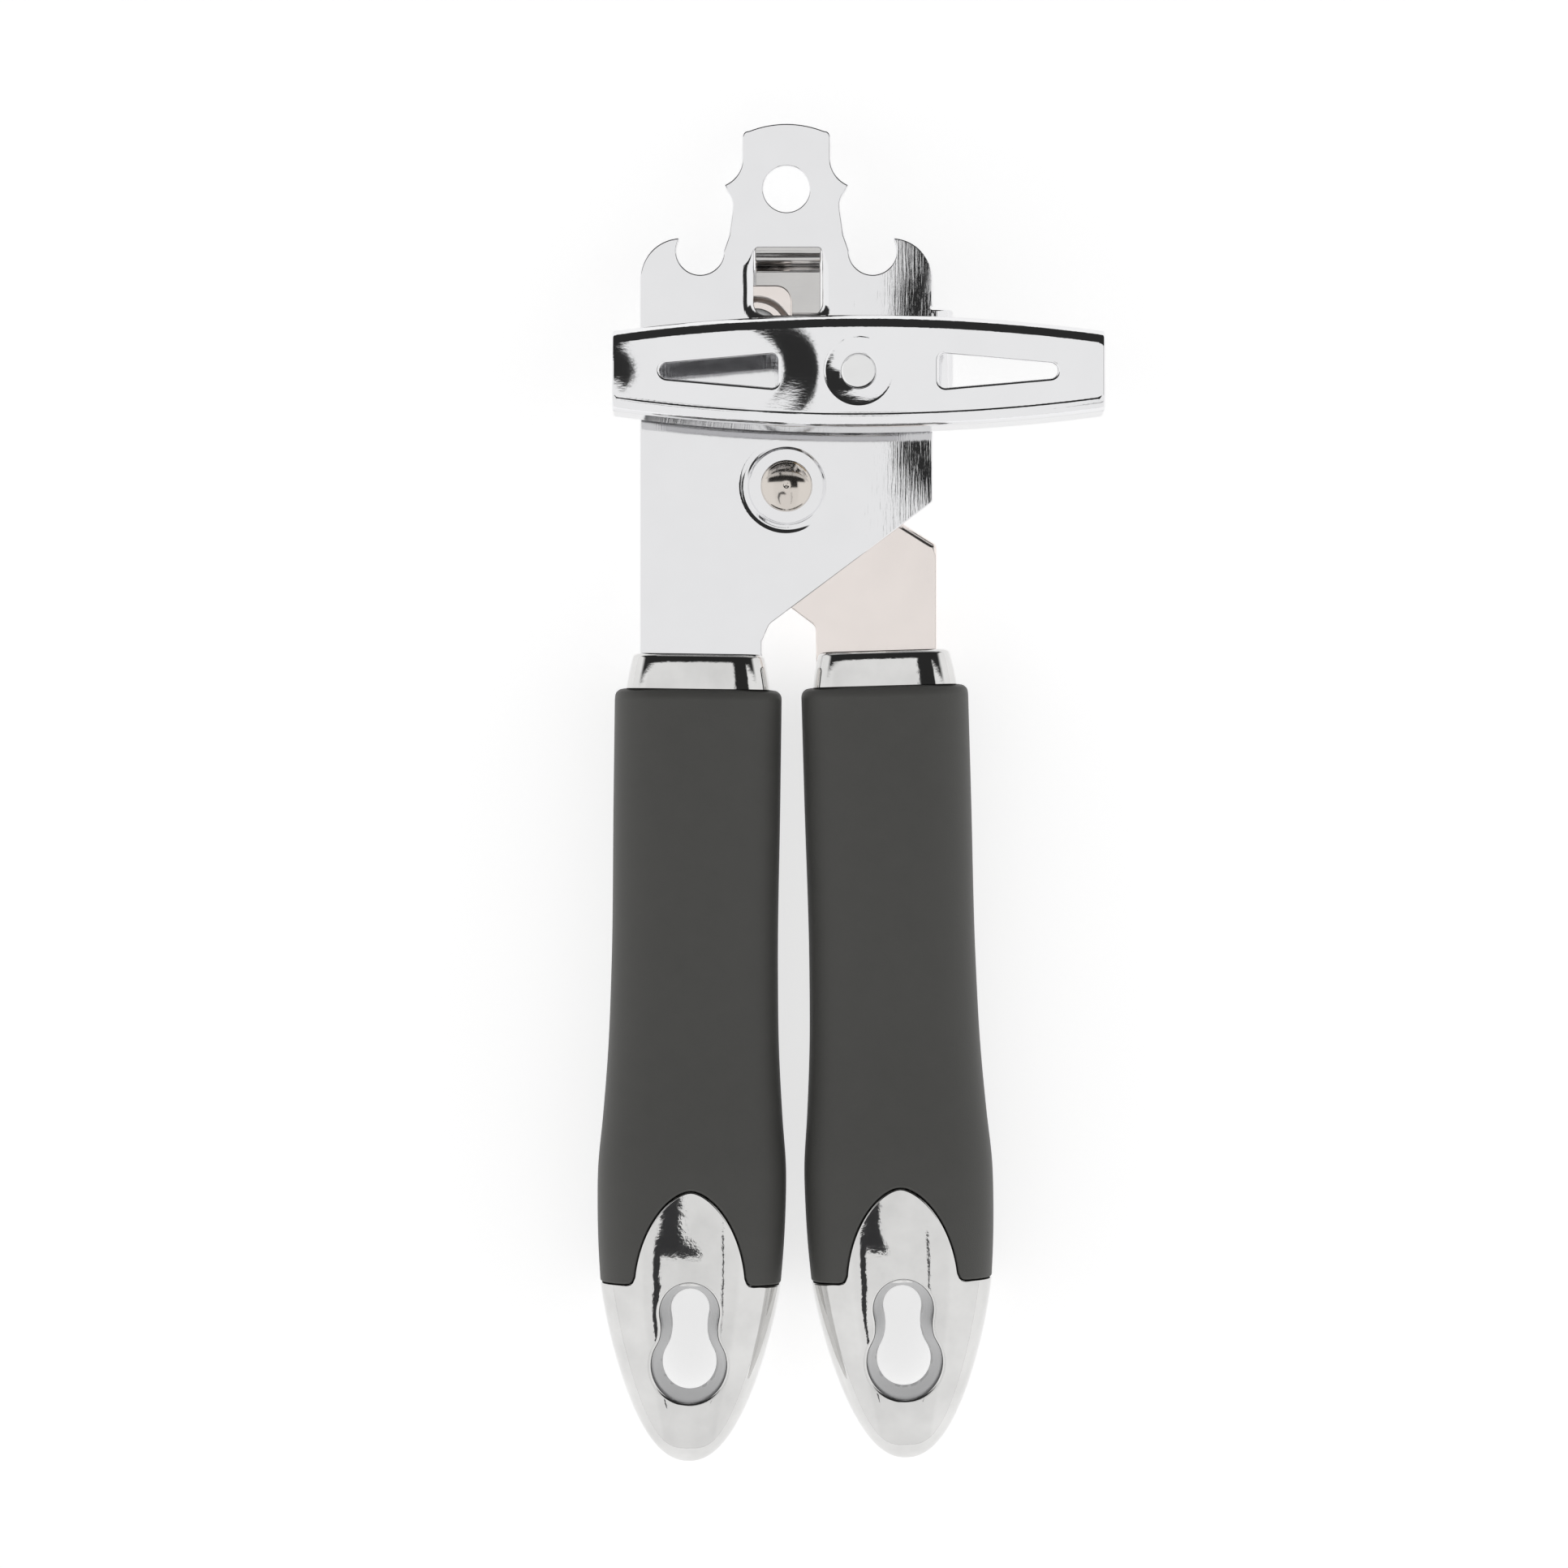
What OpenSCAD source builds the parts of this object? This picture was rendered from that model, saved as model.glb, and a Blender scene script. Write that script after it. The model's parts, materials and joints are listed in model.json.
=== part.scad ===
// A hand can opener lying on its back, +Y towards the head and +Z towards the key.
// Shapes are drawn with the pivot at the origin and the rear face of the front plate at z = 0.

/* [Plates] */
// Thickness of the front and rear plates
plate_t = 1.6; // [1.4:0.1:1.8]
// Free play between the two plates
plate_gap = 0.15; // [0.1:0.05:0.25]
// Width of the front plate
plate_w = 44.8; // [44:0.2:46]
// Height of the head's crown above the pivot
head_top = 55.5; // [55:0.5:57]
// Width of the head around the hanging hole
head_w = 13.5; // [13:0.5:15]
// Height of the hanging hole above the pivot
hole_y = 45.5; // [45:0.5:46.5]
// Radius of the hanging hole
hole_r = 3.55; // [3:0.05:3.8]
// Radius of each bottle opener notch
notch_r = 3.6; // [3.2:0.1:3.7]
// Radius of the shoulders outside the notches
shoulder_r = 6.3; // [6:0.1:6.5]

/* [Pivot] */
// Radius of the pivot rivet's shank
pivot_r = 2.6; // [2.3:0.1:2.8]
// Radius of the domed rivet head
pivot_head_r = 3.95; // [3.8:0.05:4.4]
// Radius of the raised boss round the rivet
boss_r = 5.8; // [5.6:0.1:6.2]

/* [Key] */
// Length of the key from tip to tip
key_len = 73.8; // [70:0.2:80]
// Width of the key at its middle
key_mid_w = 17.8; // [17:0.2:20]
// Width of the key at its tips
key_tip_w = 12.8; // [12:0.2:14]
// Depth of the key's side flanges
key_depth = 8; // [7:0.5:9]
// Thickness of the key's sheet
key_t = 1.2; // [1:0.1:1.4]
// Height of the key's face above the front plate
key_rise = 20.5; // [19:0.5:22]
// Radius of the shaft's shoulder below the key
shaft_r = 4.4; // [4:0.1:4.6]

/* [Feed wheel and cutter] */
// Radius over the feed wheel's teeth
wheel_r = 7.2; // [6.8:0.1:7.2]
// Number of teeth on the feed wheel
wheel_teeth = 24; // [18:1:30]
// Radius of the cutting wheel
cutter_r = 10; // [9.4:0.1:10.1]
// Thickness of the cutting wheel
cutter_t = 1.1; // [0.9:0.1:1.2]

/* [Handles] */
// Width of a grip at its top
grip_w = 25.6; // [25:0.2:26]
// Width of a grip at its bulge
bulge_w = 28.9; // [27:0.1:29]
// Thickness of a grip at its bulge
grip_t = 19.6; // [19:0.2:20]
// Length of a grip
grip_len = 90.8; // [88:0.2:92]
// Length of an end cap below the grip
cap_len = 27.6; // [27:0.2:28.4]

/* [Hidden] */
$fn = 64;

// Heights of the layers, from the rear face of the front plate
front_z = plate_t;
rear_top = -plate_gap;
rear_z = rear_top - plate_t;
boss_h = 0.8;
boss_top = front_z + boss_h;
dimple_d = 1.1;
seat_z = rear_z - dimple_d;
tab_top = seat_z - 0.25;
tab_z = tab_top - plate_t;
cutter_top = tab_z - 0.45;
cutter_z = cutter_top - cutter_t;
wheel_top = -1.4;
wheel_z = -4.6;
key_top = front_z + key_rise;
key_under = key_top - key_t;

// Places in the plan, from the pivot
half_w = plate_w / 2;
half_head = head_w / 2;
shoulder_x = half_w - shoulder_r;
shoulder_y = 31.7;
shoulder_top = shoulder_y + shoulder_r;
notch_x = 13.2;
notch_y = 36;
neck_foot = 9.4;
key_x = 10.8;
key_y = 16.3;
cutter_x = -4.6;
cutter_y = 23.7;
window_left = -5;
window_right = 5.5;
window_foot = 26.2;
window_top = 36.5;
waist_x = 0.75;
waist_y = -18.6;
collar_y = -25.7;
running = 0.07;

// Handle axes: top point, tilt and direction of the plate's tang
left_axis = [-13.45, -28.5, -0.75];
right_axis = [14.95, -28, 1.65];
grip_mid = (front_z + rear_z) / 2;
tang_w = 13;
tang_end = 82;
core_w = 20;
core_t = 12.6;
peg_r = 1.9;
pegs = [28, 64];
fit = 0.1;

// The whole is moved so that its box stands centred on z = 0
left_edge = -28.9;
right_edge = key_x + key_len / 2;
foot_y = -149.4;
centre = [(left_edge + right_edge) / 2, (head_top + foot_y) / 2, grip_mid - grip_t / 2];

module place() {
    translate(-centre) children();
}

function sgn_pow(x, p) = sign(x) * pow(abs(x), p);

// A closed ring of points across a handle, at a distance v down its axis
function ring(v, half_x, half_z, square_e, n = 40) = [
    for (i = [0:n - 1])
        let (a = i * 360 / n)
        [half_x * sgn_pow(cos(a), 2 / square_e), -v, half_z * sgn_pow(sin(a), 2 / square_e)]
];

// A circular arc as points
function arc(cx, cy, r, a0, a1, n = 10) = [
    for (i = [0:n]) let (a = a0 + (a1 - a0) * i / n) [cx + r * cos(a), cy + r * sin(a)]
];

// A solid through a list of rings
module loft(rings) {
    n = len(rings[0]);
    m = len(rings);
    points = [for (r = rings) each r];
    sides = [
        for (j = [0:m - 2], i = [0:n - 1])
            let (a = j * n + i, b = j * n + (i + 1) % n, c = b + n, d = a + n)
            each [[a, c, b], [a, d, c]]
    ];
    first = [[for (i = [0:n - 1]) i]];
    last = [[for (i = [n - 1:-1:0]) (m - 1) * n + i]];
    polyhedron(points, concat(first, sides, last));
}

module disc(r, z0, z1) {
    translate([0, 0, z0]) cylinder(r = r, h = z1 - z0);
}

module washer(r_out, r_in, z0, z1) {
    difference() {
        disc(r_out, z0, z1);
        disc(r_in, z0 - 1, z1 + 1);
    }
}

module at_key() {
    translate([key_x, key_y, 0]) children();
}

module at_cutter() {
    translate([cutter_x, cutter_y, 0]) children();
}

// ---- Front plate

module both_sides() {
    children();
    mirror([1, 0]) children();
}

module head_outline() {
    crown_r = 15.6;
    corner_r = 1;
    tip_y = 46.1;
    flare_y = 50.2;
    flare_r = 4.43;
    top_y = head_top - 2.1;
    difference() {
        union() {
            polygon([
                [-half_head, top_y], [half_head, top_y], [half_head, flare_y], [9.5, flare_y],
                [9.5, tip_y], [8.2, 43.5], [8.8, 38.4], [neck_foot, notch_y - 1],
                [-neck_foot, notch_y - 1], [-8.8, 38.4], [-8.2, 43.5], [-9.5, tip_y],
                [-9.5, flare_y], [-half_head, flare_y]
            ]);
            both_sides() translate([half_head - corner_r, top_y]) circle(corner_r);
            intersection() {
                translate([0, head_top - crown_r]) circle(crown_r);
                translate([corner_r - half_head, hole_y]) square([head_w - 2 * corner_r, 12]);
            }
        }
        both_sides() translate([half_head + flare_r, flare_y]) circle(flare_r);
        both_sides() translate([half_head, flare_y]) square([flare_r, 3]);
    }
}

module body_outline() {
    difference() {
        union() {
            polygon([
                [-half_w, shoulder_y], [-half_w, collar_y - 4.6], [-3.7, collar_y - 4.6],
                [-3.7, -22.9], [-2.9, -21.4], [waist_x, waist_y], [half_w, -2.4],
                [half_w, shoulder_y]
            ]);
            both_sides() translate([shoulder_x, shoulder_y]) circle(shoulder_r);
            translate([-shoulder_x, shoulder_y]) square([2 * shoulder_x, shoulder_r]);
        }
        both_sides() {
            translate([notch_x, notch_y]) circle(notch_r);
            translate([neck_foot - 0.1, notch_y]) square([notch_x - neck_foot + 0.1, 4]);
            translate([notch_x, notch_y + 1.6]) square([3.25, 4]);
        }
    }
}

module window_outline() {
    r = 1.8;
    w = window_right - window_left;
    h = window_top - window_foot;
    translate([window_left, window_foot]) {
        translate([r, 0]) square([w - 2 * r, h]);
        translate([0, r]) square([w, h - r]);
        for (x = [r, w - r]) translate([x, r]) circle(r);
    }
}

module tang_outline(axis) {
    translate([axis[0], axis[1]]) rotate(axis[2]) {
        translate([-tang_w / 2, -tang_end]) square([tang_w, tang_end]);
        translate([0, -tang_end]) circle(tang_w / 2);
    }
}

module peg_holes(axis) {
    translate([axis[0], axis[1]]) rotate(axis[2])
        for (v = pegs) translate([0, -v]) circle(peg_r + fit);
}

// The tab bends back from the top of the window and runs flat behind the cutter's arm
module guide_tab() {
    r_in = 1;
    r_out = r_in + plate_t;
    drop = front_z - tab_top;
    run_y = window_top - r_out - r_in;
    foot_gap = 0.5;
    profile = concat(
        arc(window_top, front_z - r_out, r_out, 90, 180),
        arc(run_y, front_z - drop + r_in, r_in, 0, -90),
        [[window_foot + foot_gap, tab_top], [window_foot + foot_gap, tab_z]],
        arc(run_y, tab_z + r_out, r_out, -90, 0),
        arc(window_top, -r_in, r_in, 180, 90),
        [[window_top + 0.4, 0], [window_top + 0.4, front_z]]
    );
    translate([window_left + 0.2, 0, 0])
        rotate([90, 0, 90]) linear_extrude(window_right - window_left - 0.4) polygon(profile);
}

// The lip on the right side turns back and rests against the can
module can_guide() {
    lip_low = 8.8;
    lip_high = 27.1;
    r_out = 3.2;
    r_in = r_out - plate_t;
    depth = 7;
    profile = concat(
        [[half_w - 0.4, front_z]],
        arc(half_w, front_z - r_out, r_out, 90, 0),
        [[half_w + r_out, -depth], [half_w + r_in, -depth]],
        arc(half_w, front_z - r_out, r_in, 0, 90),
        [[half_w - 0.4, 0]]
    );
    translate([0, lip_high, 0])
        rotate([90, 0, 0]) linear_extrude(lip_high - lip_low) polygon(profile);
}

module front_plate() {
    color("silver") place() {
        difference() {
            union() {
                linear_extrude(front_z) difference() {
                    union() {
                        head_outline();
                        body_outline();
                        tang_outline(left_axis);
                    }
                    window_outline();
                    peg_holes(left_axis);
                }
                rotate_extrude() polygon(concat(
                    [[0, front_z], [0, boss_top]],
                    arc(boss_r - 0.5, boss_top - 0.5, 0.5, 90, 10, 6),
                    arc(boss_r + 0.6, front_z + 0.45, 0.6, 170, 230, 4),
                    [[boss_r + 0.6, front_z - 0.1], [0, front_z - 0.1]]
                ));
                guide_tab();
                can_guide();
            }
            translate([0, hole_y, -1]) cylinder(r = hole_r, h = plate_t + 2);
            at_key() disc(5.1, -1, front_z + 1);
            at_cutter() disc(5.4, tab_z - 1, tab_top + 0.1);
            disc(5, -1, boss_h);
            disc(pivot_r, -1, boss_top + 1);
        }
    }
}

// ---- Rear plate

module rear_outline() {
    arm_top = 30.9;
    arm_right = 0.87;
    arm_left = -10.6;
    corner_r = 2.5;
    knee_y = -9.1;
    polygon([
        [arm_left, arm_top - corner_r], [arm_left, -4], [-7.2, -12.4], [waist_x, waist_y],
        [4.5, -21.4], [4.6, collar_y - 4.6], [23, collar_y - 4.6], [23, knee_y - 0.8],
        [22.3, knee_y + 0.6], [9, -0.1], [7.2, 5], [arm_right, 12], [arm_right, arm_top - corner_r]
    ]);
    translate([arm_left + corner_r, 20]) square([arm_right - arm_left - 2 * corner_r, arm_top - 20]);
    for (x = [arm_left + corner_r, arm_right - corner_r])
        translate([x, arm_top - corner_r]) circle(corner_r);
}

module rear_plate() {
    dimple_r = 4.85;
    seat_r = 6.1;
    color("gainsboro") place() {
        difference() {
            union() {
                translate([0, 0, rear_z]) linear_extrude(plate_t) difference() {
                    union() {
                        rear_outline();
                        tang_outline(right_axis);
                    }
                    peg_holes(right_axis);
                }
                at_cutter() disc(seat_r, seat_z, rear_z + 0.1);
            }
            at_cutter() disc(dimple_r, rear_top - dimple_d, rear_top + 1);
            at_cutter() disc(2.4, seat_z - 1, rear_top);
            disc(pivot_r + running, rear_z - 1, rear_top + 1);
        }
    }
}

// ---- Pivot

module pivot_rivet() {
    color("tan") place() {
        rotate_extrude() polygon(concat(
            [[0, rear_z - 2.1], [3.4, rear_z - 2.1], [4, rear_z - 1.6], [4, rear_z - 0.75]],
            [[pivot_r, rear_z - 0.75], [pivot_r, boss_top], [pivot_head_r, boss_top]],
            [for (a = [0:9:90]) [pivot_head_r * cos(a), boss_top + 0.25 + 1.6 * sin(a)]]
        ));
    }
}

module pivot_wave_washer() {
    color("dimgray") place() washer(4.8, pivot_r + running, 0.1, 0.55);
}

module pivot_rear_washer() {
    color("silver") place() washer(5.4, pivot_r + running, rear_z - 0.72, rear_z - 0.1);
}

// ---- Key, shaft and feed wheel

// The outline has two long arcs; inset moves them inwards
module key_outline(inset) {
    rise = (key_mid_w - key_tip_w) / 2;
    half = key_len / 2;
    arc_r = (half * half + rise * rise) / (2 * rise);
    intersection() {
        translate([0, key_mid_w / 2 - arc_r]) circle(arc_r - inset, $fn = 720);
        translate([0, arc_r - key_mid_w / 2]) circle(arc_r - inset, $fn = 720);
        square([key_len, key_mid_w + 2], center = true);
    }
}

module key_slot() {
    near = 12;
    far = 29.8;
    near_half = 2.55;
    corner_r = 1;
    end_r = 1.15;
    polygon([
        [near, corner_r - near_half], [near + corner_r, -near_half], [far - end_r, -end_r],
        [far - end_r, end_r], [near + corner_r, near_half], [near, near_half - corner_r]
    ]);
    for (y = [-1, 1]) translate([near + corner_r, y * (near_half - corner_r)]) circle(corner_r);
    translate([far - end_r, 0]) circle(end_r);
}

module key() {
    dish_r = 5.1;
    dish_d = 0.9;
    hub_r = 6;
    color("silver") place() at_key() difference() {
        union() {
            difference() {
                translate([0, 0, key_top - key_depth]) linear_extrude(key_depth) key_outline(0);
                translate([0, 0, key_top - key_depth - 1])
                    linear_extrude(key_depth + 1 - key_t) key_outline(key_t);
            }
            disc(hub_r, key_under - dish_d, key_under + 0.1);
        }
        translate([0, 0, key_top - dish_d])
            cylinder(r1 = dish_r - 1.6, r2 = dish_r, h = dish_d + 0.001);
        disc(2.6, key_under - 3, key_top + 1);
        for (a = [0, 180]) rotate(a) translate([0, 0, key_under - 1])
            linear_extrude(key_t + 2) key_slot();
    }
}

module key_shaft() {
    key_seat = key_under - 0.9;
    color("silver") place() at_key() rotate_extrude() polygon([
        [0, wheel_z - 3], [2.1, wheel_z - 3], [2.4, wheel_z - 2.7], [2.4, wheel_top + 0.1],
        [3.4, wheel_top + 0.1], [3.4, front_z + 1.7], [shaft_r, front_z + 1.7],
        [shaft_r, key_seat], [2.6, key_seat], [2.6, key_under + 0.35], [0, key_under + 0.35]
    ]);
}

module shaft_bushing() {
    color("darkkhaki") place() at_key() difference() {
        union() {
            disc(5.1, -0.6, front_z + 0.1);
            disc(6.4, front_z, front_z + 1.5);
        }
        disc(3.4 + running, -1, front_z + 2);
    }
}

module thrust_washer() {
    color("gray") place() at_key() washer(5.6, 3.4 + running, wheel_top + 0.1, -0.7);
}

function tooth_ring(n, r_tip, r_root) = [
    for (i = [0:n - 1], k = [0:3])
        let (a = (i + [0, 0.22, 0.5, 0.72][k]) * 360 / n, r = k == 1 || k == 2 ? r_tip : r_root)
        [r * cos(a), r * sin(a)]
];

module feed_wheel() {
    color("gray") place() at_key() difference() {
        translate([0, 0, wheel_z]) linear_extrude(wheel_top - wheel_z)
            polygon(tooth_ring(wheel_teeth, wheel_r, wheel_r - 0.75));
        disc(2.4, wheel_z - 1, wheel_top + 1);
    }
}

module drive_nut() {
    color("silver") place() at_key() difference() {
        translate([0, 0, wheel_z - 2.4]) cylinder(r = 4.5, h = 2.4, $fn = 6);
        disc(2.4, wheel_z - 4, wheel_z + 1);
    }
}

// ---- Cutting wheel

module cutter_wheel() {
    land = cutter_r - 2.2;
    color("gainsboro") place() at_cutter() difference() {
        rotate_extrude() polygon([
            [0, cutter_z], [land, cutter_z], [cutter_r, cutter_top - 0.35],
            [cutter_r, cutter_top - 0.25], [cutter_r - 0.4, cutter_top], [0, cutter_top]
        ]);
        disc(3 + running, cutter_z - 1, cutter_top + 1);
    }
}

module cutter_screw() {
    head_top_z = cutter_z - 0.55;
    head_z = head_top_z - 1.7;
    color("silver") place() at_cutter() difference() {
        rotate_extrude() polygon([
            [0, head_z], [4, head_z], [4.6, head_z + 0.6], [4.6, head_top_z], [3, head_top_z],
            [3, seat_z], [2.4, seat_z], [2.4, rear_top - 0.45], [0, rear_top - 0.45]
        ]);
        translate([-6, -0.6, head_z - 1]) cube([12, 1.2, 1.8]);
    }
}

module cutter_spacer() {
    color("gray") place() at_cutter() washer(4.4, 3, cutter_top + 0.1, seat_z);
}

module cutter_wave_washer() {
    color("dimgray") place() at_cutter() washer(4.4, 3, cutter_z - 0.55, cutter_z - 0.1);
}

module cutter_nut() {
    color("silver") place() at_cutter() washer(3.7, 2.4, rear_top - dimple_d, rear_top - 0.4);
}

// ---- Handles

module on_handle(axis) {
    translate([axis[0], axis[1], grip_mid]) rotate(axis[2]) children();
}

half_grip = grip_w / 2;
half_bulge = bulge_w / 2;
half_thick = grip_t / 2;
grip_top = 2.6;
seam = grip_top + grip_len;
squareness = 2.9;
tongue_floor = 7.7;

// Half width and half thickness of the grip at its stations
grip_stations = [
    [grip_top, half_grip - 1.3, half_thick - 2.2], [grip_top + 0.4, half_grip - 0.5, half_thick - 1.4],
    [grip_top + 1.3, half_grip, half_thick - 0.9], [20, half_grip, half_thick - 0.7],
    [45, half_grip, half_thick - 0.7], [60, half_grip + 0.4, half_thick - 0.6],
    [71, half_bulge - 0.45, half_thick - 0.2], [76, half_bulge, half_thick],
    [82, half_bulge - 0.05, half_thick], [seam, half_bulge - 0.65, half_thick - 0.2]
];

function cap_taper(t) = pow(1 - pow(t, 1.2), 0.46);

cap_stations = [
    for (t = [0, 0.18, 0.36, 0.54, 0.7, 0.82, 0.91, 0.97, 0.995])
        [seam + cap_len * t, (half_bulge - 0.65) * cap_taper(t),
            (half_thick - 0.2) * (0.25 + 0.75 * cap_taper(t))]
];

module grip_body() {
    loft([for (s = grip_stations) ring(s[0], s[1], s[2], squareness)]);
}

// The cap's tongues lie in the front and back faces of the grip, outside the height floor_z
function tongue_half(v) = 8.5 * pow(1 - pow((94.4 - v) / 15.41, 2), 0.6);

module tongues(grow, floor_z) {
    side = [for (v = [79, 79.2, 79.6, 80.2, 81, 82, 83.5, 85, 87, 89, 91, 92.4]) [tongue_half(v) + grow, v - grow]];
    outline = concat(side, [[8.75 + grow, seam - 0.3], [9.1 + grow, seam]]);
    difference() {
        linear_extrude(2 * half_thick + 2, center = true) polygon(concat(
            [for (p = outline) [p[0], -p[1]]],
            [for (i = [len(outline) - 1:-1:0]) [-outline[i][0], -outline[i][1]]]
        ));
        cube([40, 2 * seam + 2, 2 * floor_z], center = true);
    }
}

module core_space(grow) {
    translate([-core_w / 2 - grow, -seam + 4.5 - grow, -core_t / 2 - grow])
        cube([core_w + 2 * grow, seam - grip_top - 6.5 + 2 * grow, core_t + 2 * grow]);
}

module grip(axis) {
    color([0.27, 0.27, 0.26]) place() on_handle(axis) difference() {
        grip_body();
        tongues(fit, tongue_floor - fit);
        core_space(fit);
        translate([0, -grip_top, 0]) cube([core_w, 8, core_t], center = true);
        translate([0, -seam, 0]) cube([core_w - 2, 10, core_t - 2], center = true);
    }
}

module core_half(axis, tang_z, front) {
    top_z = core_t / 2;
    face = front ? tang_z + plate_t : tang_z;
    z0 = front ? face - grip_mid : -top_z;
    z1 = front ? top_z : face - grip_mid;
    color("dimgray") place() on_handle(axis) difference() {
        union() {
            translate([-core_w / 2, -seam + 4.5, z0]) cube([core_w, seam - grip_top - 6.5, z1 - z0]);
            if (front) for (v = pegs) translate([0, -v, 0]) disc(peg_r, z0 - plate_t - 2, z0 + 0.5);
        }
        if (!front) for (v = pegs) translate([0, -v, 0]) disc(peg_r + fit, z1 - 2.3, z1 + 1);
    }
}

module ferrule(axis, plate_left, plate_right, tang_z) {
    stations = [
        [-2.8, 9.6, 6.2], [-2.5, 10.1, 6.8], [-1.8, 10.35, 7.1], [1.9, 10.95, 7.5],
        [grip_top - 0.02, 11, 7.5]
    ];
    color("silver") place() difference() {
        on_handle(axis) union() {
            loft([for (s = stations) ring(s[0], s[1], s[2], 5)]);
            translate([1 - core_w / 2, -grip_top - 2, 1 - core_t / 2]) cube([core_w - 2, 2.1, core_t - 2]);
        }
        translate([plate_left - fit, collar_y - 4.6 - fit, tang_z - fit])
            cube([plate_right - plate_left + 2 * fit, 12, plate_t + 2 * fit]);
        translate([0, 0, tang_z - fit]) linear_extrude(plate_t + 2 * fit) tang_outline(axis);
    }
}

// The hanging loop is a keyhole, narrowest half way through
module loop_space() {
    high = 97.4;
    low = 105.6;
    reach = 11;
    flare = 1.6 * reach / 9.5;
    for (side = [0, 1]) mirror([0, 0, side]) translate([0, 0, -0.01]) {
        translate([0, -high, 0]) cylinder(r1 = 2.95, r2 = 2.95 + flare, h = reach);
        translate([0, -low, 0]) cylinder(r1 = 4.25, r2 = 4.25 + flare, h = reach);
        rotate([90, 0, 0]) translate([0, 0, high]) linear_extrude(low - high)
            polygon([[-2.55, 0], [2.55, 0], [2.55 + flare, reach], [-2.55 - flare, reach]]);
    }
}

module end_cap(axis) {
    color("silver") place() on_handle(axis) difference() {
        union() {
            loft([for (s = cap_stations) ring(s[0], s[1], s[2], squareness)]);
            intersection() {
                grip_body();
                tongues(0, tongue_floor);
            }
            for (z = [-1, 1]) translate([0, -seam, z * (tongue_floor + 0.6)])
                cube([14, 1.2, 1.1], center = true);
            translate([1.2 - core_w / 2, -seam - 0.1, 1.2 - core_t / 2])
                cube([core_w - 2.4, 4.5, core_t - 2.4]);
        }
        loop_space();
    }
}

module left_core_front() { core_half(left_axis, 0, true); }
module left_core_rear() { core_half(left_axis, 0, false); }
module left_grip() { grip(left_axis); }
module left_ferrule() { ferrule(left_axis, -half_w, -3.7, 0); }
module left_end_cap() { end_cap(left_axis); }
module right_core_front() { core_half(right_axis, rear_z, true); }
module right_core_rear() { core_half(right_axis, rear_z, false); }
module right_grip() { grip(right_axis); }
module right_ferrule() { ferrule(right_axis, 4.6, 23, rear_z); }
module right_end_cap() { end_cap(right_axis); }

front_plate();
rear_plate();
pivot_rivet();
pivot_wave_washer();
pivot_rear_washer();
key();
key_shaft();
shaft_bushing();
thrust_washer();
feed_wheel();
drive_nut();
cutter_wheel();
cutter_screw();
cutter_spacer();
cutter_wave_washer();
cutter_nut();
left_core_front();
left_core_rear();
left_grip();
left_ferrule();
left_end_cap();
right_core_front();
right_core_rear();
right_grip();
right_ferrule();
right_end_cap();
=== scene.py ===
import json
import math
import bpy
import bmesh
import numpy as np
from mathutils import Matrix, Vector
from mathutils.geometry import delaunay_2d_cdt


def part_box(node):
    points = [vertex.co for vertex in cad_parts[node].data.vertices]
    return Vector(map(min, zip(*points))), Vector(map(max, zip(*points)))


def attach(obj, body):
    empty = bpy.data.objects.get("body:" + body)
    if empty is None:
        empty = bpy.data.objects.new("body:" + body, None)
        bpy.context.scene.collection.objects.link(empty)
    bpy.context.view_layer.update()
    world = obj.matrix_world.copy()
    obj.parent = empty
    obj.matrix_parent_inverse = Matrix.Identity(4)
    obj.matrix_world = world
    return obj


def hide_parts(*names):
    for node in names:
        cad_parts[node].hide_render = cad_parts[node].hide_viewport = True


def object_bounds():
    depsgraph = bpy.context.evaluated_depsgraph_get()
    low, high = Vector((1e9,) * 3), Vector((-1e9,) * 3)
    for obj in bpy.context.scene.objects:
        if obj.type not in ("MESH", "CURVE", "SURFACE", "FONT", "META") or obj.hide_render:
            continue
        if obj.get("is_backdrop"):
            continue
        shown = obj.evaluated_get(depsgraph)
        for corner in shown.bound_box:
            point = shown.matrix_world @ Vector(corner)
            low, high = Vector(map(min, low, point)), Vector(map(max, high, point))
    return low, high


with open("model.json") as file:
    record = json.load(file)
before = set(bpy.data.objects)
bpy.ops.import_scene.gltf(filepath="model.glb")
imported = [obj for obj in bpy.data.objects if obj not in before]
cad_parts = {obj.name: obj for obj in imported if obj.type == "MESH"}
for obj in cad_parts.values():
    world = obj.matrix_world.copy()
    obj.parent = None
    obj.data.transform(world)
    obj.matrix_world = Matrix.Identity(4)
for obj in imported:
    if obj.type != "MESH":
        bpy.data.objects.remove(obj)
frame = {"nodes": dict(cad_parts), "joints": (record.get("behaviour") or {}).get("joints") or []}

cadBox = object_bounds()
mm = 0.001
joints = {j["name"]: j for j in frame["joints"]}
pivot = Vector(joints["handle_hinge"]["pos_m"])  # rear face of the front plate, on the pivot


def fromPivot(point):
    return (Vector(point) - pivot) / mm


keyAt = fromPivot(joints["key_turn"]["pos_m"])
cutterAt = fromPivot(joints["cutter_spin"]["pos_m"])


def nodeSpan(node):
    low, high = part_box(node)
    return fromPivot(low), fromPivot(high)


# A node socket that adds and multiplies like a number
class Wire:
    def __init__(self, tree, socket):
        self.tree = tree
        self.socket = socket

    def __add__(self, other):
        return self.tree.maths("ADD", self, other)

    def __radd__(self, other):
        return self.tree.maths("ADD", other, self)

    def __sub__(self, other):
        return self.tree.maths("SUBTRACT", self, other)

    def __rsub__(self, other):
        return self.tree.maths("SUBTRACT", other, self)

    def __mul__(self, other):
        return self.tree.maths("MULTIPLY", self, other)

    def __rmul__(self, other):
        return self.tree.maths("MULTIPLY", other, self)


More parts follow.
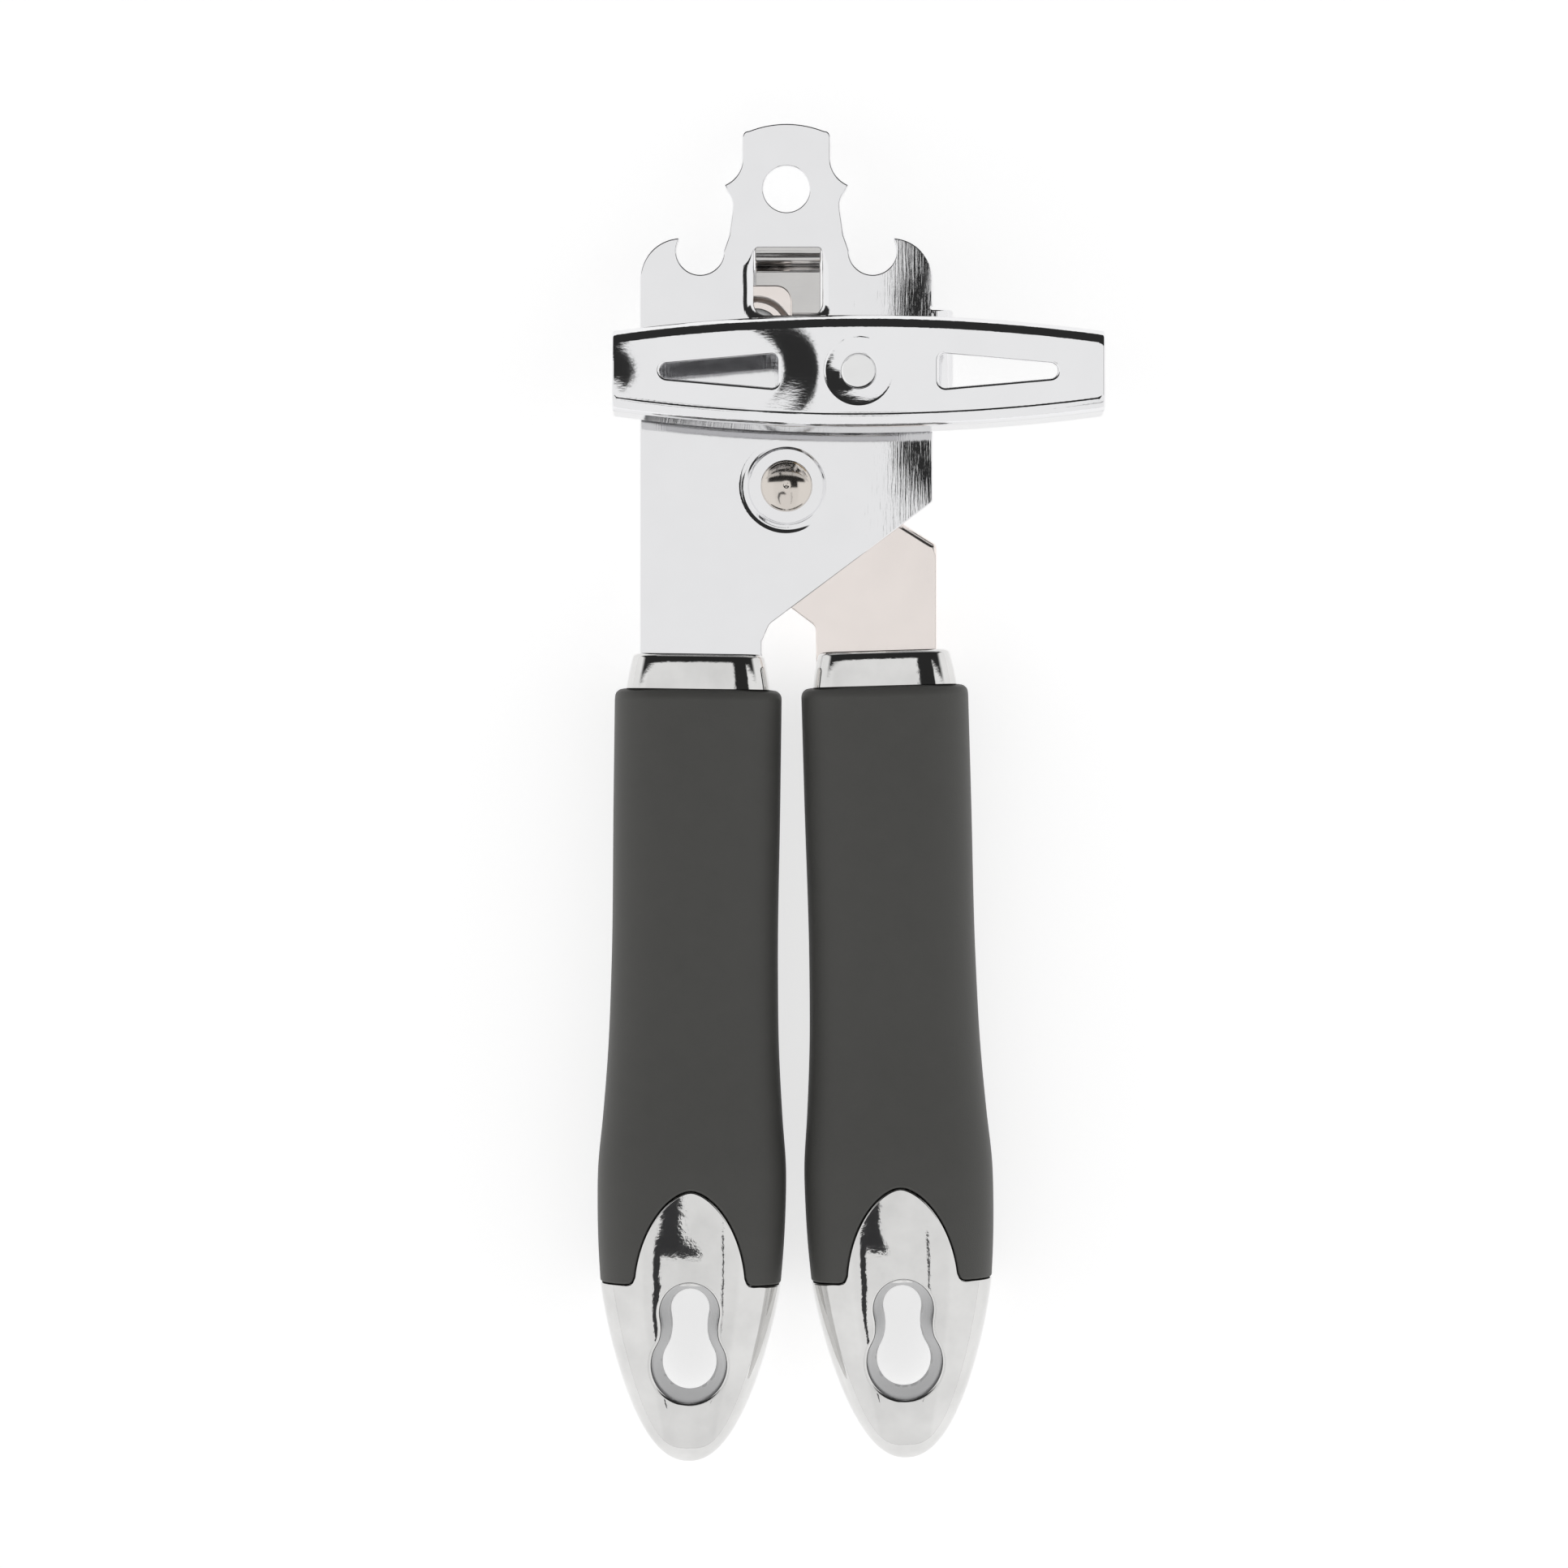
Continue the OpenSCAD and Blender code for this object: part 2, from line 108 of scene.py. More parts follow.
class Tree:
    def __init__(self, nodeTree):
        self.nodeTree = nodeTree

    def feed(self, socket, value):
        if isinstance(value, Wire):
            self.nodeTree.links.new(value.socket, socket)
        else:
            socket.default_value = value

    def add(self, kind, settings=None, sockets=None, out=0):
        node = self.nodeTree.nodes.new(kind)
        for key, value in (settings or {}).items():
            if key == "stops":
                ramp = node.color_ramp.elements
                while len(ramp) < len(value):
                    ramp.new(0.5)
                for element, (place, colour) in zip(ramp, value):
                    element.position = place
                    element.color = colour
            else:
                setattr(node, key, value)
        for key, value in (sockets or {}).items():
            self.feed(node.inputs[key], value)
        return Wire(self, node.outputs[out]) if len(node.outputs) else node

    def maths(self, operation, a, b):
        return self.add("ShaderNodeMath", {"operation": operation}, {0: a, 1: b})

    def axis(self, vector, index):
        return self.add("ShaderNodeSeparateXYZ", None, {0: vector}, out=index)

    def fade(self, value, low, high):
        # rises smoothly from 0 at low to 1 at high
        return self.add("ShaderNodeMapRange", {"interpolation_type": "SMOOTHSTEP"}, {
            "Value": value, "From Min": low, "From Max": high, "To Min": 0.0, "To Max": 1.0})


def newMaterial(name):
    material = bpy.data.materials.new(name)
    material.use_nodes = True
    material.node_tree.nodes.clear()
    return material, Tree(material.node_tree)


def finishMaterial(tree, sockets):
    shader = tree.add("ShaderNodeBsdfPrincipled", None, sockets)
    tree.add("ShaderNodeOutputMaterial", None, {"Surface": shader})


def onPiece(tree):
    # a place on the piece itself, in metres, so that finishes move with it
    return tree.add("ShaderNodeTexCoord", out=3)


def grain(tree, scale, detail, stretch=(1, 1, 1)):
    mapped = tree.add("ShaderNodeMapping", None, {"Vector": onPiece(tree), "Scale": stretch})
    return tree.add("ShaderNodeTexNoise", {"noise_dimensions": "3D"}, {
        "Vector": mapped, "Scale": scale, "Detail": detail, "Roughness": 0.5})


def mixColour(tree, factor, a, b):
    return tree.add("ShaderNodeMix", {"data_type": "RGBA"}, {0: factor, 6: a, 7: b}, out=2)


# Each metal: its colour and roughness, how strongly lines and ripples show, and its wear.
# stretch: how the lines run, where they have a direction. haze: how far wear blurs it.
# ragged: between two places across, in metres, the lines grow by the third value.
# flankShade: painted shade; between two heights, in metres, the colour falls to the third value's share.
metals = {
    "brightPlate": dict(colour=(0.86, 0.86, 0.87), rough=0.05, lines=0.12, ripple=0.10,
                        stretch=(6, 0.35, 1), lineScale=620, wear=0.04, ragged=(0.002, 0.010, 0.24)),
    "brightKey": dict(colour=(0.88, 0.88, 0.89), rough=0.05, lines=0.13, ripple=0.10,
                      # the key's lower flanges are darkened here by painted shade
                      stretch=(1.5, 5, 5), lineScale=560, wear=0.04, flankShade=(0.0305, 0.0296, 0.74)),
    "brightTrim": dict(colour=(0.83, 0.825, 0.815), rough=0.03, lines=0.10, ripple=0.26,
                       lineScale=1100, wear=0.26, haze=0.02),
    "satinPlate": dict(colour=(0.93, 0.862, 0.825), rough=0.15, lines=0.05, ripple=0.08,
                       lineScale=1500, wear=0.05),
    "warmNickel": dict(colour=(0.72, 0.67, 0.62), rough=0.09, lines=0.02, ripple=0.05,
                       lineScale=900, wear=0.08),
    "plainSteel": dict(colour=(0.62, 0.62, 0.62), rough=0.24, lines=0.08, ripple=0.05,
                       stretch=(1, 1, 6), lineScale=900, wear=0.12),
    "turnedSteel": dict(colour=(0.89, 0.89, 0.89), rough=0.12, lines=0.05, ripple=0.04,
                        stretch=(1, 1, 6), lineScale=900, wear=0.06),
    # the guide tab: brushed lines run along it, and its colour is darker than the plate's as painted shade
    # for its place behind the window
    "brushedShadedTab": dict(colour=(0.66, 0.65, 0.64), rough=0.11, lines=0.09, ripple=0.05,
                       stretch=(0.3, 6, 6), lineScale=600, wear=0.08),
    # the walls inside the hanging loop: the bright trim darkened as painted shade
    "shadedLoopWall": dict(colour=(0.40, 0.40, 0.405), rough=0.20, lines=0.06, ripple=0.05,
                     lineScale=900, wear=0.12),
    "springSteel": dict(colour=(0.25, 0.25, 0.26), rough=0.34, lines=0.06, ripple=0.05,
                        lineScale=900, wear=0.14),
    "hardSteel": dict(colour=(0.46, 0.455, 0.45), rough=0.28, lines=0.10, ripple=0.05,
                      stretch=(1, 1, 8), lineScale=1100, wear=0.14),
    "cuttingSteel": dict(colour=(0.70, 0.70, 0.71), rough=0.18, lines=0.06, ripple=0.04,
                         lineScale=1300, wear=0.10),
    "bronzeBush": dict(colour=(0.60, 0.44, 0.22), rough=0.36, lines=0.05, ripple=0.05,
                       lineScale=1500, wear=0.18),
}


def metalMaterial(name, spec):
    material, tree = newMaterial(name)
    fine = grain(tree, spec["lineScale"], 4.0, spec.get("stretch", (1, 1, 1)))
    broad = grain(tree, 55, 1.0)
    smudge = grain(tree, 180, 3.0)
    colour = spec["colour"]
    dull = tuple(c * (1 - spec["wear"]) for c in colour)
    rough = tree.add("ShaderNodeMath", {"operation": "ADD", "use_clamp": True}, {
        0: spec["rough"] - 0.02, 1: smudge * spec.get("haze", spec["wear"] * 0.5) + fine * 0.03})
    lines = spec["lines"]
    if "ragged" in spec:
        start, end, extra = spec["ragged"]
        lines = lines + extra * tree.fade(tree.axis(onPiece(tree), 0), start, end)
    height = fine * lines + broad * spec["ripple"]
    bump = tree.add("ShaderNodeBump", None, {"Strength": 0.35, "Distance": 0.0002, "Height": height})
    base = mixColour(tree, smudge, (*colour, 1), (*dull, 1))
    # painted shade: below the given heights the colour is darkened
    if "flankShade" in spec:
        high, low, share = spec["flankShade"]
        down = 1.0 - tree.fade(tree.axis(onPiece(tree), 2), low, high)
        base = mixColour(tree, down, base, (*(c * share for c in colour), 1))
    finishMaterial(tree, {"Base Color": base, "Metallic": 1.0, "Roughness": rough, "Normal": bump})
    return material


def softGripMaterial():
    material, tree = newMaterial("softGrip")
    pore = grain(tree, 5200, 3.0)
    cloud = grain(tree, 260, 3.0)
    base = mixColour(tree, cloud, (0.086, 0.0855, 0.0805, 1), (0.098, 0.0972, 0.092, 1))
    bump = tree.add("ShaderNodeBump", None, {
        "Strength": 0.30, "Distance": 0.0001, "Height": pore * 0.8 + cloud * 0.2})
    finishMaterial(tree, {
        "Base Color": base, "Roughness": 0.52 + cloud * 0.10, "Normal": bump,
        "Specular IOR Level": 0.32})
    return material


def coreMaterial():
    material, tree = newMaterial("coreNylon")
    cloud = grain(tree, 700, 3.0)
    bump = tree.add("ShaderNodeBump", None, {"Strength": 0.2, "Distance": 0.0001, "Height": cloud})
    finishMaterial(tree, {
        "Base Color": mixColour(tree, cloud, (0.03, 0.03, 0.03, 1), (0.045, 0.045, 0.045, 1)),
        "Roughness": 0.5 + cloud * 0.1, "Normal": bump})
    return material


materials = {name: metalMaterial(name, spec) for name, spec in metals.items()}
materials["softGrip"] = softGripMaterial()
materials["coreNylon"] = coreMaterial()
print("materials made:", len(materials))


# Outlines and surfaces are in millimetres from the pivot
def arcPoints(cx, cy, r, start, end, n=12):
    turn = np.radians(np.linspace(start, end, n + 1))
    return [(cx + r * math.cos(a), cy + r * math.sin(a)) for a in turn]


def rounded(corners):
    # each corner is (x, y) or (x, y, radius)
    result = []
    count = len(corners)
    for i, corner in enumerate(corners):
        here = Vector(corner[:2])
        radius = corner[2] if len(corner) > 2 else 0
        if not radius:
            result.append(tuple(here))
            continue
        back = (Vector(corners[i - 1][:2]) - here).normalized()
        ahead = (Vector(corners[(i + 1) % count][:2]) - here).normalized()
        half = back.angle(ahead) / 2
        reach = radius / math.tan(half)
        centre = here + (back + ahead).normalized() * (radius / math.sin(half))
        a, b = here + back * reach, here + ahead * reach
        startTurn = math.atan2(*(a - centre).yx)
        sweep = (math.atan2(*(b - centre).yx) - startTurn + math.pi) % (2 * math.pi) - math.pi
        steps = max(3, int(abs(sweep) * 6))
        for k in range(steps + 1):
            turn = startTurn + sweep * k / steps
            result.append((centre.x + radius * math.cos(turn), centre.y + radius * math.sin(turn)))
    return result


def densify(loop, step):
    result = []
    for i, a in enumerate(loop):
        b = loop[(i + 1) % len(loop)]
        gap = math.dist(a, b)
        if gap < 1e-5:
            continue
        pieces = max(1, math.ceil(gap / step))
        result += [(a[0] + (b[0] - a[0]) * k / pieces, a[1] + (b[1] - a[1]) * k / pieces)
                   for k in range(pieces)]
    return result


def signedArea(loop):
    p = np.array(loop)
    q = np.roll(p, -1, axis=0)
    return float(np.sum(p[:, 0] * q[:, 1] - q[:, 0] * p[:, 1]) / 2)


def inwards(loop):
    # unit direction into the material, which is on the left of the loop
    p = np.array(loop)
    ahead = np.roll(p, -1, axis=0) - p
    ahead /= np.linalg.norm(ahead, axis=1)[:, None]
    normal = np.stack([-ahead[:, 1], ahead[:, 0]], axis=1)
    before = np.roll(normal, 1, axis=0)
    mid = normal + before
    mid /= np.maximum(np.linalg.norm(mid, axis=1), 1e-6)[:, None]
    miter = 1 / np.clip(np.sum(mid * normal, axis=1), 0.55, 1)
    return mid, miter[:, None]


def insideLoops(points, loops):
    count = np.zeros(len(points), int)
    for loop in loops:
        a = np.array(loop)
        b = np.roll(a, -1, axis=0)
        for (ax, ay), (bx, by) in zip(a, b):
            if ay == by:
                continue
            crosses = (points[:, 1] > min(ay, by)) & (points[:, 1] <= max(ay, by))
            reach = ax + (points[:, 1] - ay) * (bx - ax) / (by - ay)
            count += crosses & (points[:, 0] < reach)
    return count % 2 == 1


rimClearance = 0.22  # inner points stay this far from every loop


def fillLoops(loops, inner):
    # triangles over the loops and the inner points, with the holes left open
    points = [tuple(p) for loop in loops for p in loop]
    edges, start = [], 0
    for loop in loops:
        n = len(loop)
        edges += [(start + k, start + (k + 1) % n) for k in range(n)]
        start += n
    keep = inner[insideLoops(inner, loops)] if len(inner) else inner
    rim = np.array(points)
    if len(keep):
        far = np.array([np.min(np.hypot(rim[:, 0] - x, rim[:, 1] - y)) for x, y in keep])
        keep = keep[far > rimClearance]
    everything = points + [tuple(p) for p in keep]
    made = delaunay_2d_cdt([Vector(p) for p in everything], edges, [], 0, 1e-7)
    verts = np.array([tuple(v) for v in made[0]])
    tris = np.array(made[2])
    middle = verts[tris].mean(axis=1)
    return verts, tris[insideLoops(middle, loops)]


def leftTurn(flat, a, b, c):
    # positive where three points of a flat run anticlockwise
    first, second = flat[b] - flat[a], flat[c] - flat[a]
    return first[0] * second[1] - first[1] * second[0]


class Shape:
    def __init__(self):
        self.points = np.zeros((0, 3))
        self.normals = np.zeros((0, 3))
        self.faces = []
        self.marked = []

    def addPoints(self, points, normals):
        start = len(self.points)
        self.points = np.vstack([self.points, points])
        self.normals = np.vstack([self.normals, normals])
        return start

    def addStrip(self, a, b, n, closed=True, mark=False):
        # quads from ring a to ring b, both of n points; marked ones take the second material
        for k in range(n if closed else n - 1):
            m = (k + 1) % n
            if mark:
                self.marked.append(len(self.faces))
            self.faces.append((a + k, a + m, b + m, b + k))

    def addFlat(self, flat, tris, start, turned):
        # triangles of a flat, wound clockwise on it where turned is set
        for a, b, c in tris:
            if (leftTurn(flat, a, b, c) > 0) == turned:
                b, c = c, b
            self.faces.append((start + a, start + b, start + c))

    def addShape(self, other):
        start = self.addPoints(other.points, other.normals)
        self.marked += [len(self.faces) + i for i in other.marked]
        self.faces += [tuple(start + i for i in face) for face in other.faces]
        return self


def unit(rows):
    return rows / np.maximum(np.linalg.norm(rows, axis=1), 1e-12)[:, None]


def surfaceFrame(place, flat, depth):
    tiny = 1e-3
    base = place(flat, depth)
    along = place(flat + [tiny, 0], depth) - base
    across = place(flat + [0, tiny], depth) - base
    return base, unit(np.cross(along, across)), along / tiny, across / tiny


def bentSheet(loops, inner, place, thickness, edges, cell=1.5, ringSteps=4):
    # loops: outer first, then holes. edges: the rounding of each loop, or a rule that
    # gives how far in and how deep it goes at each point
    loops = [densify(loop, cell) for loop in loops]
    loops = [loop if (signedArea(loop) > 0) == (i == 0) else loop[::-1]
             for i, loop in enumerate(loops)]
    shape = Shape()
    ones = [np.ones((len(loop), 1)) for loop in loops]
    edges = [edge(np.array(loop)) if callable(edge) else (edge * one, edge * one)
             for loop, edge, one in zip(loops, edges, ones)]
    inset = []
    for loop, (wide, _) in zip(loops, edges):
        way, miter = inwards(loop)
        inset.append(np.array(loop) + way * miter * wide)
    flat, tris = fillLoops([[tuple(p) for p in loop] for loop in inset], inner)
    top, topNormal, _, _ = surfaceFrame(place, flat, 0.0)
    under, _, _, _ = surfaceFrame(place, flat, thickness)
    topAt = shape.addPoints(top, topNormal)
    underAt = shape.addPoints(under, -topNormal)
    for a, b, c in tris:
        if leftTurn(flat, a, b, c) < 0:
            b, c = c, b
        shape.faces.append((topAt + a, topAt + b, topAt + c))
        shape.faces.append((underAt + a, underAt + c, underAt + b))
    for loop, (wide, deep) in zip(loops, edges):
        n = len(loop)
        way, miter = inwards(loop)
        rings = []
        for behind in (False, True):
            turns = np.radians(np.linspace(0, 90, ringSteps + 1))
            for turn in (turns[::-1] if behind else turns):
                drop = deep * (1 - math.cos(turn))
                spot = np.array(loop) + way * miter * wide * (1 - math.sin(turn))
                depth = (thickness - drop if behind else drop)[:, 0]
                base, normal, along, across = surfaceFrame(place, spot, depth)
                outward = unit(-(along * way[:, :1] + across * way[:, 1:]))
                lean = normal * (-1 if behind else 1) * math.cos(turn) * wide
                rings.append(shape.addPoints(base, unit(lean + outward * math.sin(turn) * deep)))
        for a, b in zip(rings[:-1], rings[1:]):
            shape.addStrip(a, b, n)
    return shape


def gridPoints(loop, step):
    p = np.array(loop)
    low, high = p.min(axis=0), p.max(axis=0)
    xs = np.arange(low[0] + step / 2, high[0], step)
    ys = np.arange(low[1] + step / 2, high[1], step)
    return np.array([(x + (step / 2 if j % 2 else 0), y) for j, y in enumerate(ys) for x in xs])


def ringPoints(cx, cy, radii, n=64):
    turns = np.linspace(0, 2 * math.pi, n, endpoint=False)
    return np.array([(cx + r * math.cos(a), cy + r * math.sin(a)) for r in radii for a in turns])


def awayFrom(points, cx, cy, r):
    return points[np.hypot(points[:, 0] - cx, points[:, 1] - cy) > r]


def lathe(profile, centre, steps=96):
    # a closed profile of (radius, height) turned about an upright axis
    shape = Shape()
    rows = len(profile)
    turns = np.linspace(0, 2 * math.pi, steps, endpoint=False)
    for r, z in profile:
        ring = np.array([(centre[0] + r * math.cos(a), centre[1] + r * math.sin(a), z) for a in turns])
        shape.addPoints(ring, np.zeros((steps, 3)))
    for j in range(rows):
        k = (j + 1) % rows
        if profile[j][0] < 1e-6 and profile[k][0] < 1e-6:
            continue
        shape.addStrip(j * steps, k * steps, steps)
    return shape


def facing(shape):
    # every face is wound so that it looks the way its normals lean
    result = []
    for face in shape.faces:
        corners = shape.points[list(face)]
        turned = np.roll(corners, -1, axis=0)
        area = np.cross(corners - corners[0], turned - corners[0]).sum(axis=0)
        result.append(face if area @ shape.normals[list(face)].sum(axis=0) >= 0 else face[::-1])
    return result


def inMetres(point):
    return tuple(pivot + Vector(point) * mm)


def addObject(name, data):
    made = bpy.data.objects.new(name, data)
    bpy.context.scene.collection.objects.link(made)
    return made


def makePiece(name, shape, body, nodes, material, analytic=True, sharp=32, second=None):
    mesh = bpy.data.meshes.new(name)
    faces = facing(shape) if analytic else shape.faces
    mesh.from_pydata([inMetres(p) for p in shape.points], [], faces)
    mesh.materials.append(material)
    if second:
        mesh.materials.append(second)
        for index in shape.marked:
            mesh.polygons[index].material_index = 1
    piece = addObject(name, mesh)
    work = bmesh.new()
    work.from_mesh(mesh)
    if analytic:
        stored = work.verts.layers.float_vector.new("lean")
        work.verts.ensure_lookup_table()
        for vert, normal in zip(work.verts, shape.normals):
            vert[stored] = Vector(normal)
    bmesh.ops.remove_doubles(work, verts=work.verts, dist=1e-7)
    bmesh.ops.dissolve_degenerate(work, edges=work.edges, dist=1e-8)
    if not analytic:
        bmesh.ops.recalc_face_normals(work, faces=work.faces)
    for face in work.faces:
        face.smooth = True
    work.to_mesh(mesh)
    leans = None
    if analytic:
        stored = work.verts.layers.float_vector["lean"]
        leans = [tuple(v[stored]) for v in work.verts]
    work.free()
    if leans:
        mesh.normals_split_custom_set_from_vertices(leans)
        mesh.attributes.remove(mesh.attributes["lean"])
    else:
        mesh.set_sharp_from_angle(angle=math.radians(sharp))
    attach(piece, body)
    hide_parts(*nodes)
    return piece


# The front plate is one pressed sheet with the head, the window and the can guide lip
plate = dict(halfWidth=22.4, thick=1.6, bossRadius=5.8, bossHeight=0.8, bossFillet=0.2,
             holeY=45.5, holeRadius=3.55, notchX=13.2, notchY=36.0, notchRadius=3.6,
             shoulderRadius=6.3, shoulderY=31.7, lipLow=8.8, lipHigh=27.1, lipBend=3.2,
             lipDepth=7.0, edge=0.24, windowRoll=1.9, windowDrop=0.7, sink=0.1, tangFoot=-30.3,
             relief=0.22, lipCorner=1.5, bushHole=5.1, windowEdge=0.2)
# The right edge is coined: its face falls away above and below the lip
coined = dict(start=15.0, run=7.4, depth=0.55, least=0.05, upperFoot=20.5, upperTop=29.5, upperFade=0.45,
              lowerTop=14.5, lowerFoot=-3.5, ramp=5, topRamp=4, footRamp=8)


def hump(t):
    return np.where(np.abs(t) < 1, 0.5 + 0.5 * np.cos(math.pi * np.clip(t, -1, 1)), 0)


def pressedBoss(r, radius, height, fillet):
    # height of a round boss with a smooth shoulder
    inner, outer = radius - fillet, radius + fillet
    t = np.clip((r - inner) / (outer - inner), 0, 1)
    return height * (0.5 + 0.5 * np.cos(math.pi * t))


def coinDrop(x, y):
    c = coined
    run = np.clip((x - c["start"]) / c["run"], 0, 1) ** 2
    upper = np.clip((y - c["upperFoot"]) / c["ramp"], 0, 1)
    upper = upper * (1 - c["upperFade"] * np.clip((y - c["upperTop"]) / c["topRamp"], 0, 1))
    lower = np.clip((c["lowerTop"] - y) / c["ramp"], 0, 1)
    lower = lower * np.clip((y - c["lowerFoot"]) / c["footRamp"], 0, 1)
    return c["depth"] * run * (upper + lower) + c["least"] * run


def placeFront(flat, depth):
    x, y = flat[:, 0], flat[:, 1]
    p = plate
    rOut = p["lipBend"]
    around = np.hypot(x, y)
    lift = pressedBoss(around, p["bossRadius"], p["bossHeight"], p["bossFillet"])
    lowerLeft = np.clip(0.35 - (0.85 * x + 0.5 * y) / np.maximum(around, 1), 0, 1)
    drop = coinDrop(x, y) + p["sink"] * lowerLeft * hump((around - p["bossRadius"] - 0.75) / 0.75)
    # only the front face drops; the back stays flat, clear of the rear plate
    drop = drop * (1 - depth / p["thick"])
    beyond = np.maximum(x - p["halfWidth"], 0)
    turn = np.minimum(beyond / rOut, math.pi / 2)
    straight = np.maximum(beyond - rOut * math.pi / 2, 0)
    r = rOut - depth
    px = np.where(beyond > 0, p["halfWidth"] + r * np.sin(turn), x)
    pz = np.where(beyond > 0, p["thick"] - drop - rOut + r * np.cos(turn) - straight,
                  p["thick"] + lift - drop - depth)
    return np.stack([px, y, pz], axis=1)


def headHalf():
    p = plate
    # crown, its corner, the jar lid bay, the barb, the bottle notch and the shoulder
    half = [(0.0, 55.5)]
    half += arcPoints(0, 39.9, 15.6, 88, 68.5, 8)
    half += arcPoints(5.75, 53.42, 1.0, 66, 0, 6)
    half += arcPoints(6.75 + 4.43, 50.2, 4.43, 180, 246, 10)
    half += [(9.5, 46.1), (9.1, 45.2), (8.45, 44.2), (8.2, 43.3), (8.25, 42.2), (8.8, 38.4)]
    half += arcPoints(p["notchX"], p["notchY"], p["notchRadius"], 178, 386, 30)
    half += [(16.42, 37.85)]
    half += arcPoints(p["halfWidth"] - p["shoulderRadius"], p["shoulderY"], p["shoulderRadius"], 86, 0, 16)
    return half


def frontLoops():
    p = plate
    right = headHalf()
    left = [(-x, y) for x, y in right[:0:-1]]
    relief, corner = p["relief"], p["lipCorner"]
    lipOut = p["halfWidth"] + p["lipBend"] * math.pi / 2 + p["lipDepth"] + p["thick"] - p["lipBend"]
    side = arcPoints(p["halfWidth"], p["lipHigh"] + relief, relief, 90, 270, 8)
    side += [(p["halfWidth"] + 0.5, p["lipHigh"]), (lipOut - corner, p["lipHigh"])]
    side += arcPoints(lipOut - corner, p["lipHigh"] - corner, corner, 90, 0, 6)
    side += arcPoints(lipOut - corner, p["lipLow"] + corner, corner, 0, -90, 6)
    side += [(p["halfWidth"] + 0.5, p["lipLow"])]
    side += arcPoints(p["halfWidth"], p["lipLow"] - relief, relief, 90, 270, 8)
    foot = rounded([
        (p["halfWidth"], 0), (p["halfWidth"], -2.4, 0.8), (0.75, -18.6), (-2.6, -21.1, 1.6),
        (-3.7, -23.6, 1.2), (-3.7, p["tangFoot"]), (-p["halfWidth"], p["tangFoot"]),
        (-p["halfWidth"], 0)])
    outer = right + side + foot + left
    hole = arcPoints(0, p["holeY"], p["holeRadius"], 0, 355, 71)
    window = rounded([(-5, 26.2, 1.8), (5.5, 26.2, 1.8), (5.5, 36.5, 0.8), (-5, 36.5, 0.8)])
    bush = arcPoints(keyAt.x, keyAt.y, p["bushHole"], 0, 354, 59)
    return [outer, hole, window, bush]


def windowRoll(points):
    # the sides and foot of the window roll inwards, the top runs on into the tab
    share = (1 - np.clip((points[:, 1:] - 33.6) / 2.4, 0, 1)) ** 1.5
    edge = plate["windowEdge"]
    return edge + (plate["windowRoll"] - edge) * share, edge + (plate["windowDrop"] - edge) * share


def frontPlate():
    p = plate
    loops = frontLoops()
    inner = awayFrom(gridPoints(loops[0], 1.5), 0, 0, 8.0)
    inner = inner[inner[:, 0] < p["halfWidth"] - 0.4]
    sides = np.array([(x, y) for x in np.arange(15.2, p["halfWidth"] - 0.3, 0.55)
                      for y in np.arange(-4, 38, 0.8) if y < 33.5 or x < 19])
    boss = ringPoints(0, 0, [3, 4.2, 5.1, 5.5, *np.arange(5.6, 7.4, 0.09), 7.8], 110)
    bends = np.array([(p["halfWidth"] + s, y) for y in np.arange(p["lipLow"] + 0.8, p["lipHigh"], 1.2)
                      for s in np.arange(0, 5.4, 0.42)])
    tail = np.array([(p["halfWidth"] + s, y) for y in np.arange(p["lipLow"] + 1, p["lipHigh"], 1.5)
                     for s in (6.5, 8.0)])
    inner = np.vstack([inner, sides, boss, bends, tail])
    shape = bentSheet(loops, inner, placeFront, p["thick"],
                      [p["edge"], 0.18, windowRoll, 0.2], 1.0)
    tabShape = guideTab()
    # the tab's faces take the darker brushed material: real brushed lines, with painted shade in the colour
    tabShape.marked = list(range(len(tabShape.faces)))
    shape.addShape(tabShape)
    return makePiece("frontPlate", shape, "front_lever", ["front_plate"],
                     materials["brightPlate"], second=materials["brushedShadedTab"])


# The tab leaves the top of the window, bends back and runs flat behind the cutter's arm
tab = dict(left=-4.8, right=5.3, top=36.5, foot=26.7, outer=2.6, inner=1.0, seat=-3.1, scallop=5.4,
           under=0.12)


def tabRuns():
    # lengths of the outer bend, the fall, the inner bend and the flat
    t = tab
    fall = plate["thick"] - t["seat"] - t["outer"] - t["inner"]
    flat = t["top"] - t["outer"] - t["inner"] - t["foot"]
    return t["outer"] * math.pi / 2, fall, t["inner"] * math.pi / 2, flat


def placeTab(flat, depth):
    x, s = flat[:, 0], -flat[:, 1]
    t = tab
    first, drop, second, _ = tabRuns()
    a = np.clip(s / t["outer"], 0, math.pi / 2)
    b = np.clip((s - first - drop) / t["inner"], 0, math.pi / 2)
    fall = np.clip(s - first, 0, drop)
    run = np.maximum(s - first - drop - second, 0)
    lead = np.minimum(s, 0)
    y = t["top"] - lead - (t["outer"] - depth) * np.sin(a)
    y = y - (t["inner"] + depth) * (1 - np.cos(b)) - run
    z = plate["thick"] - t["outer"] + (t["outer"] - depth) * np.cos(a) - fall
    z = z - (t["inner"] + depth) * np.sin(b) - t["under"]
    return np.stack([x, y, z], axis=1)


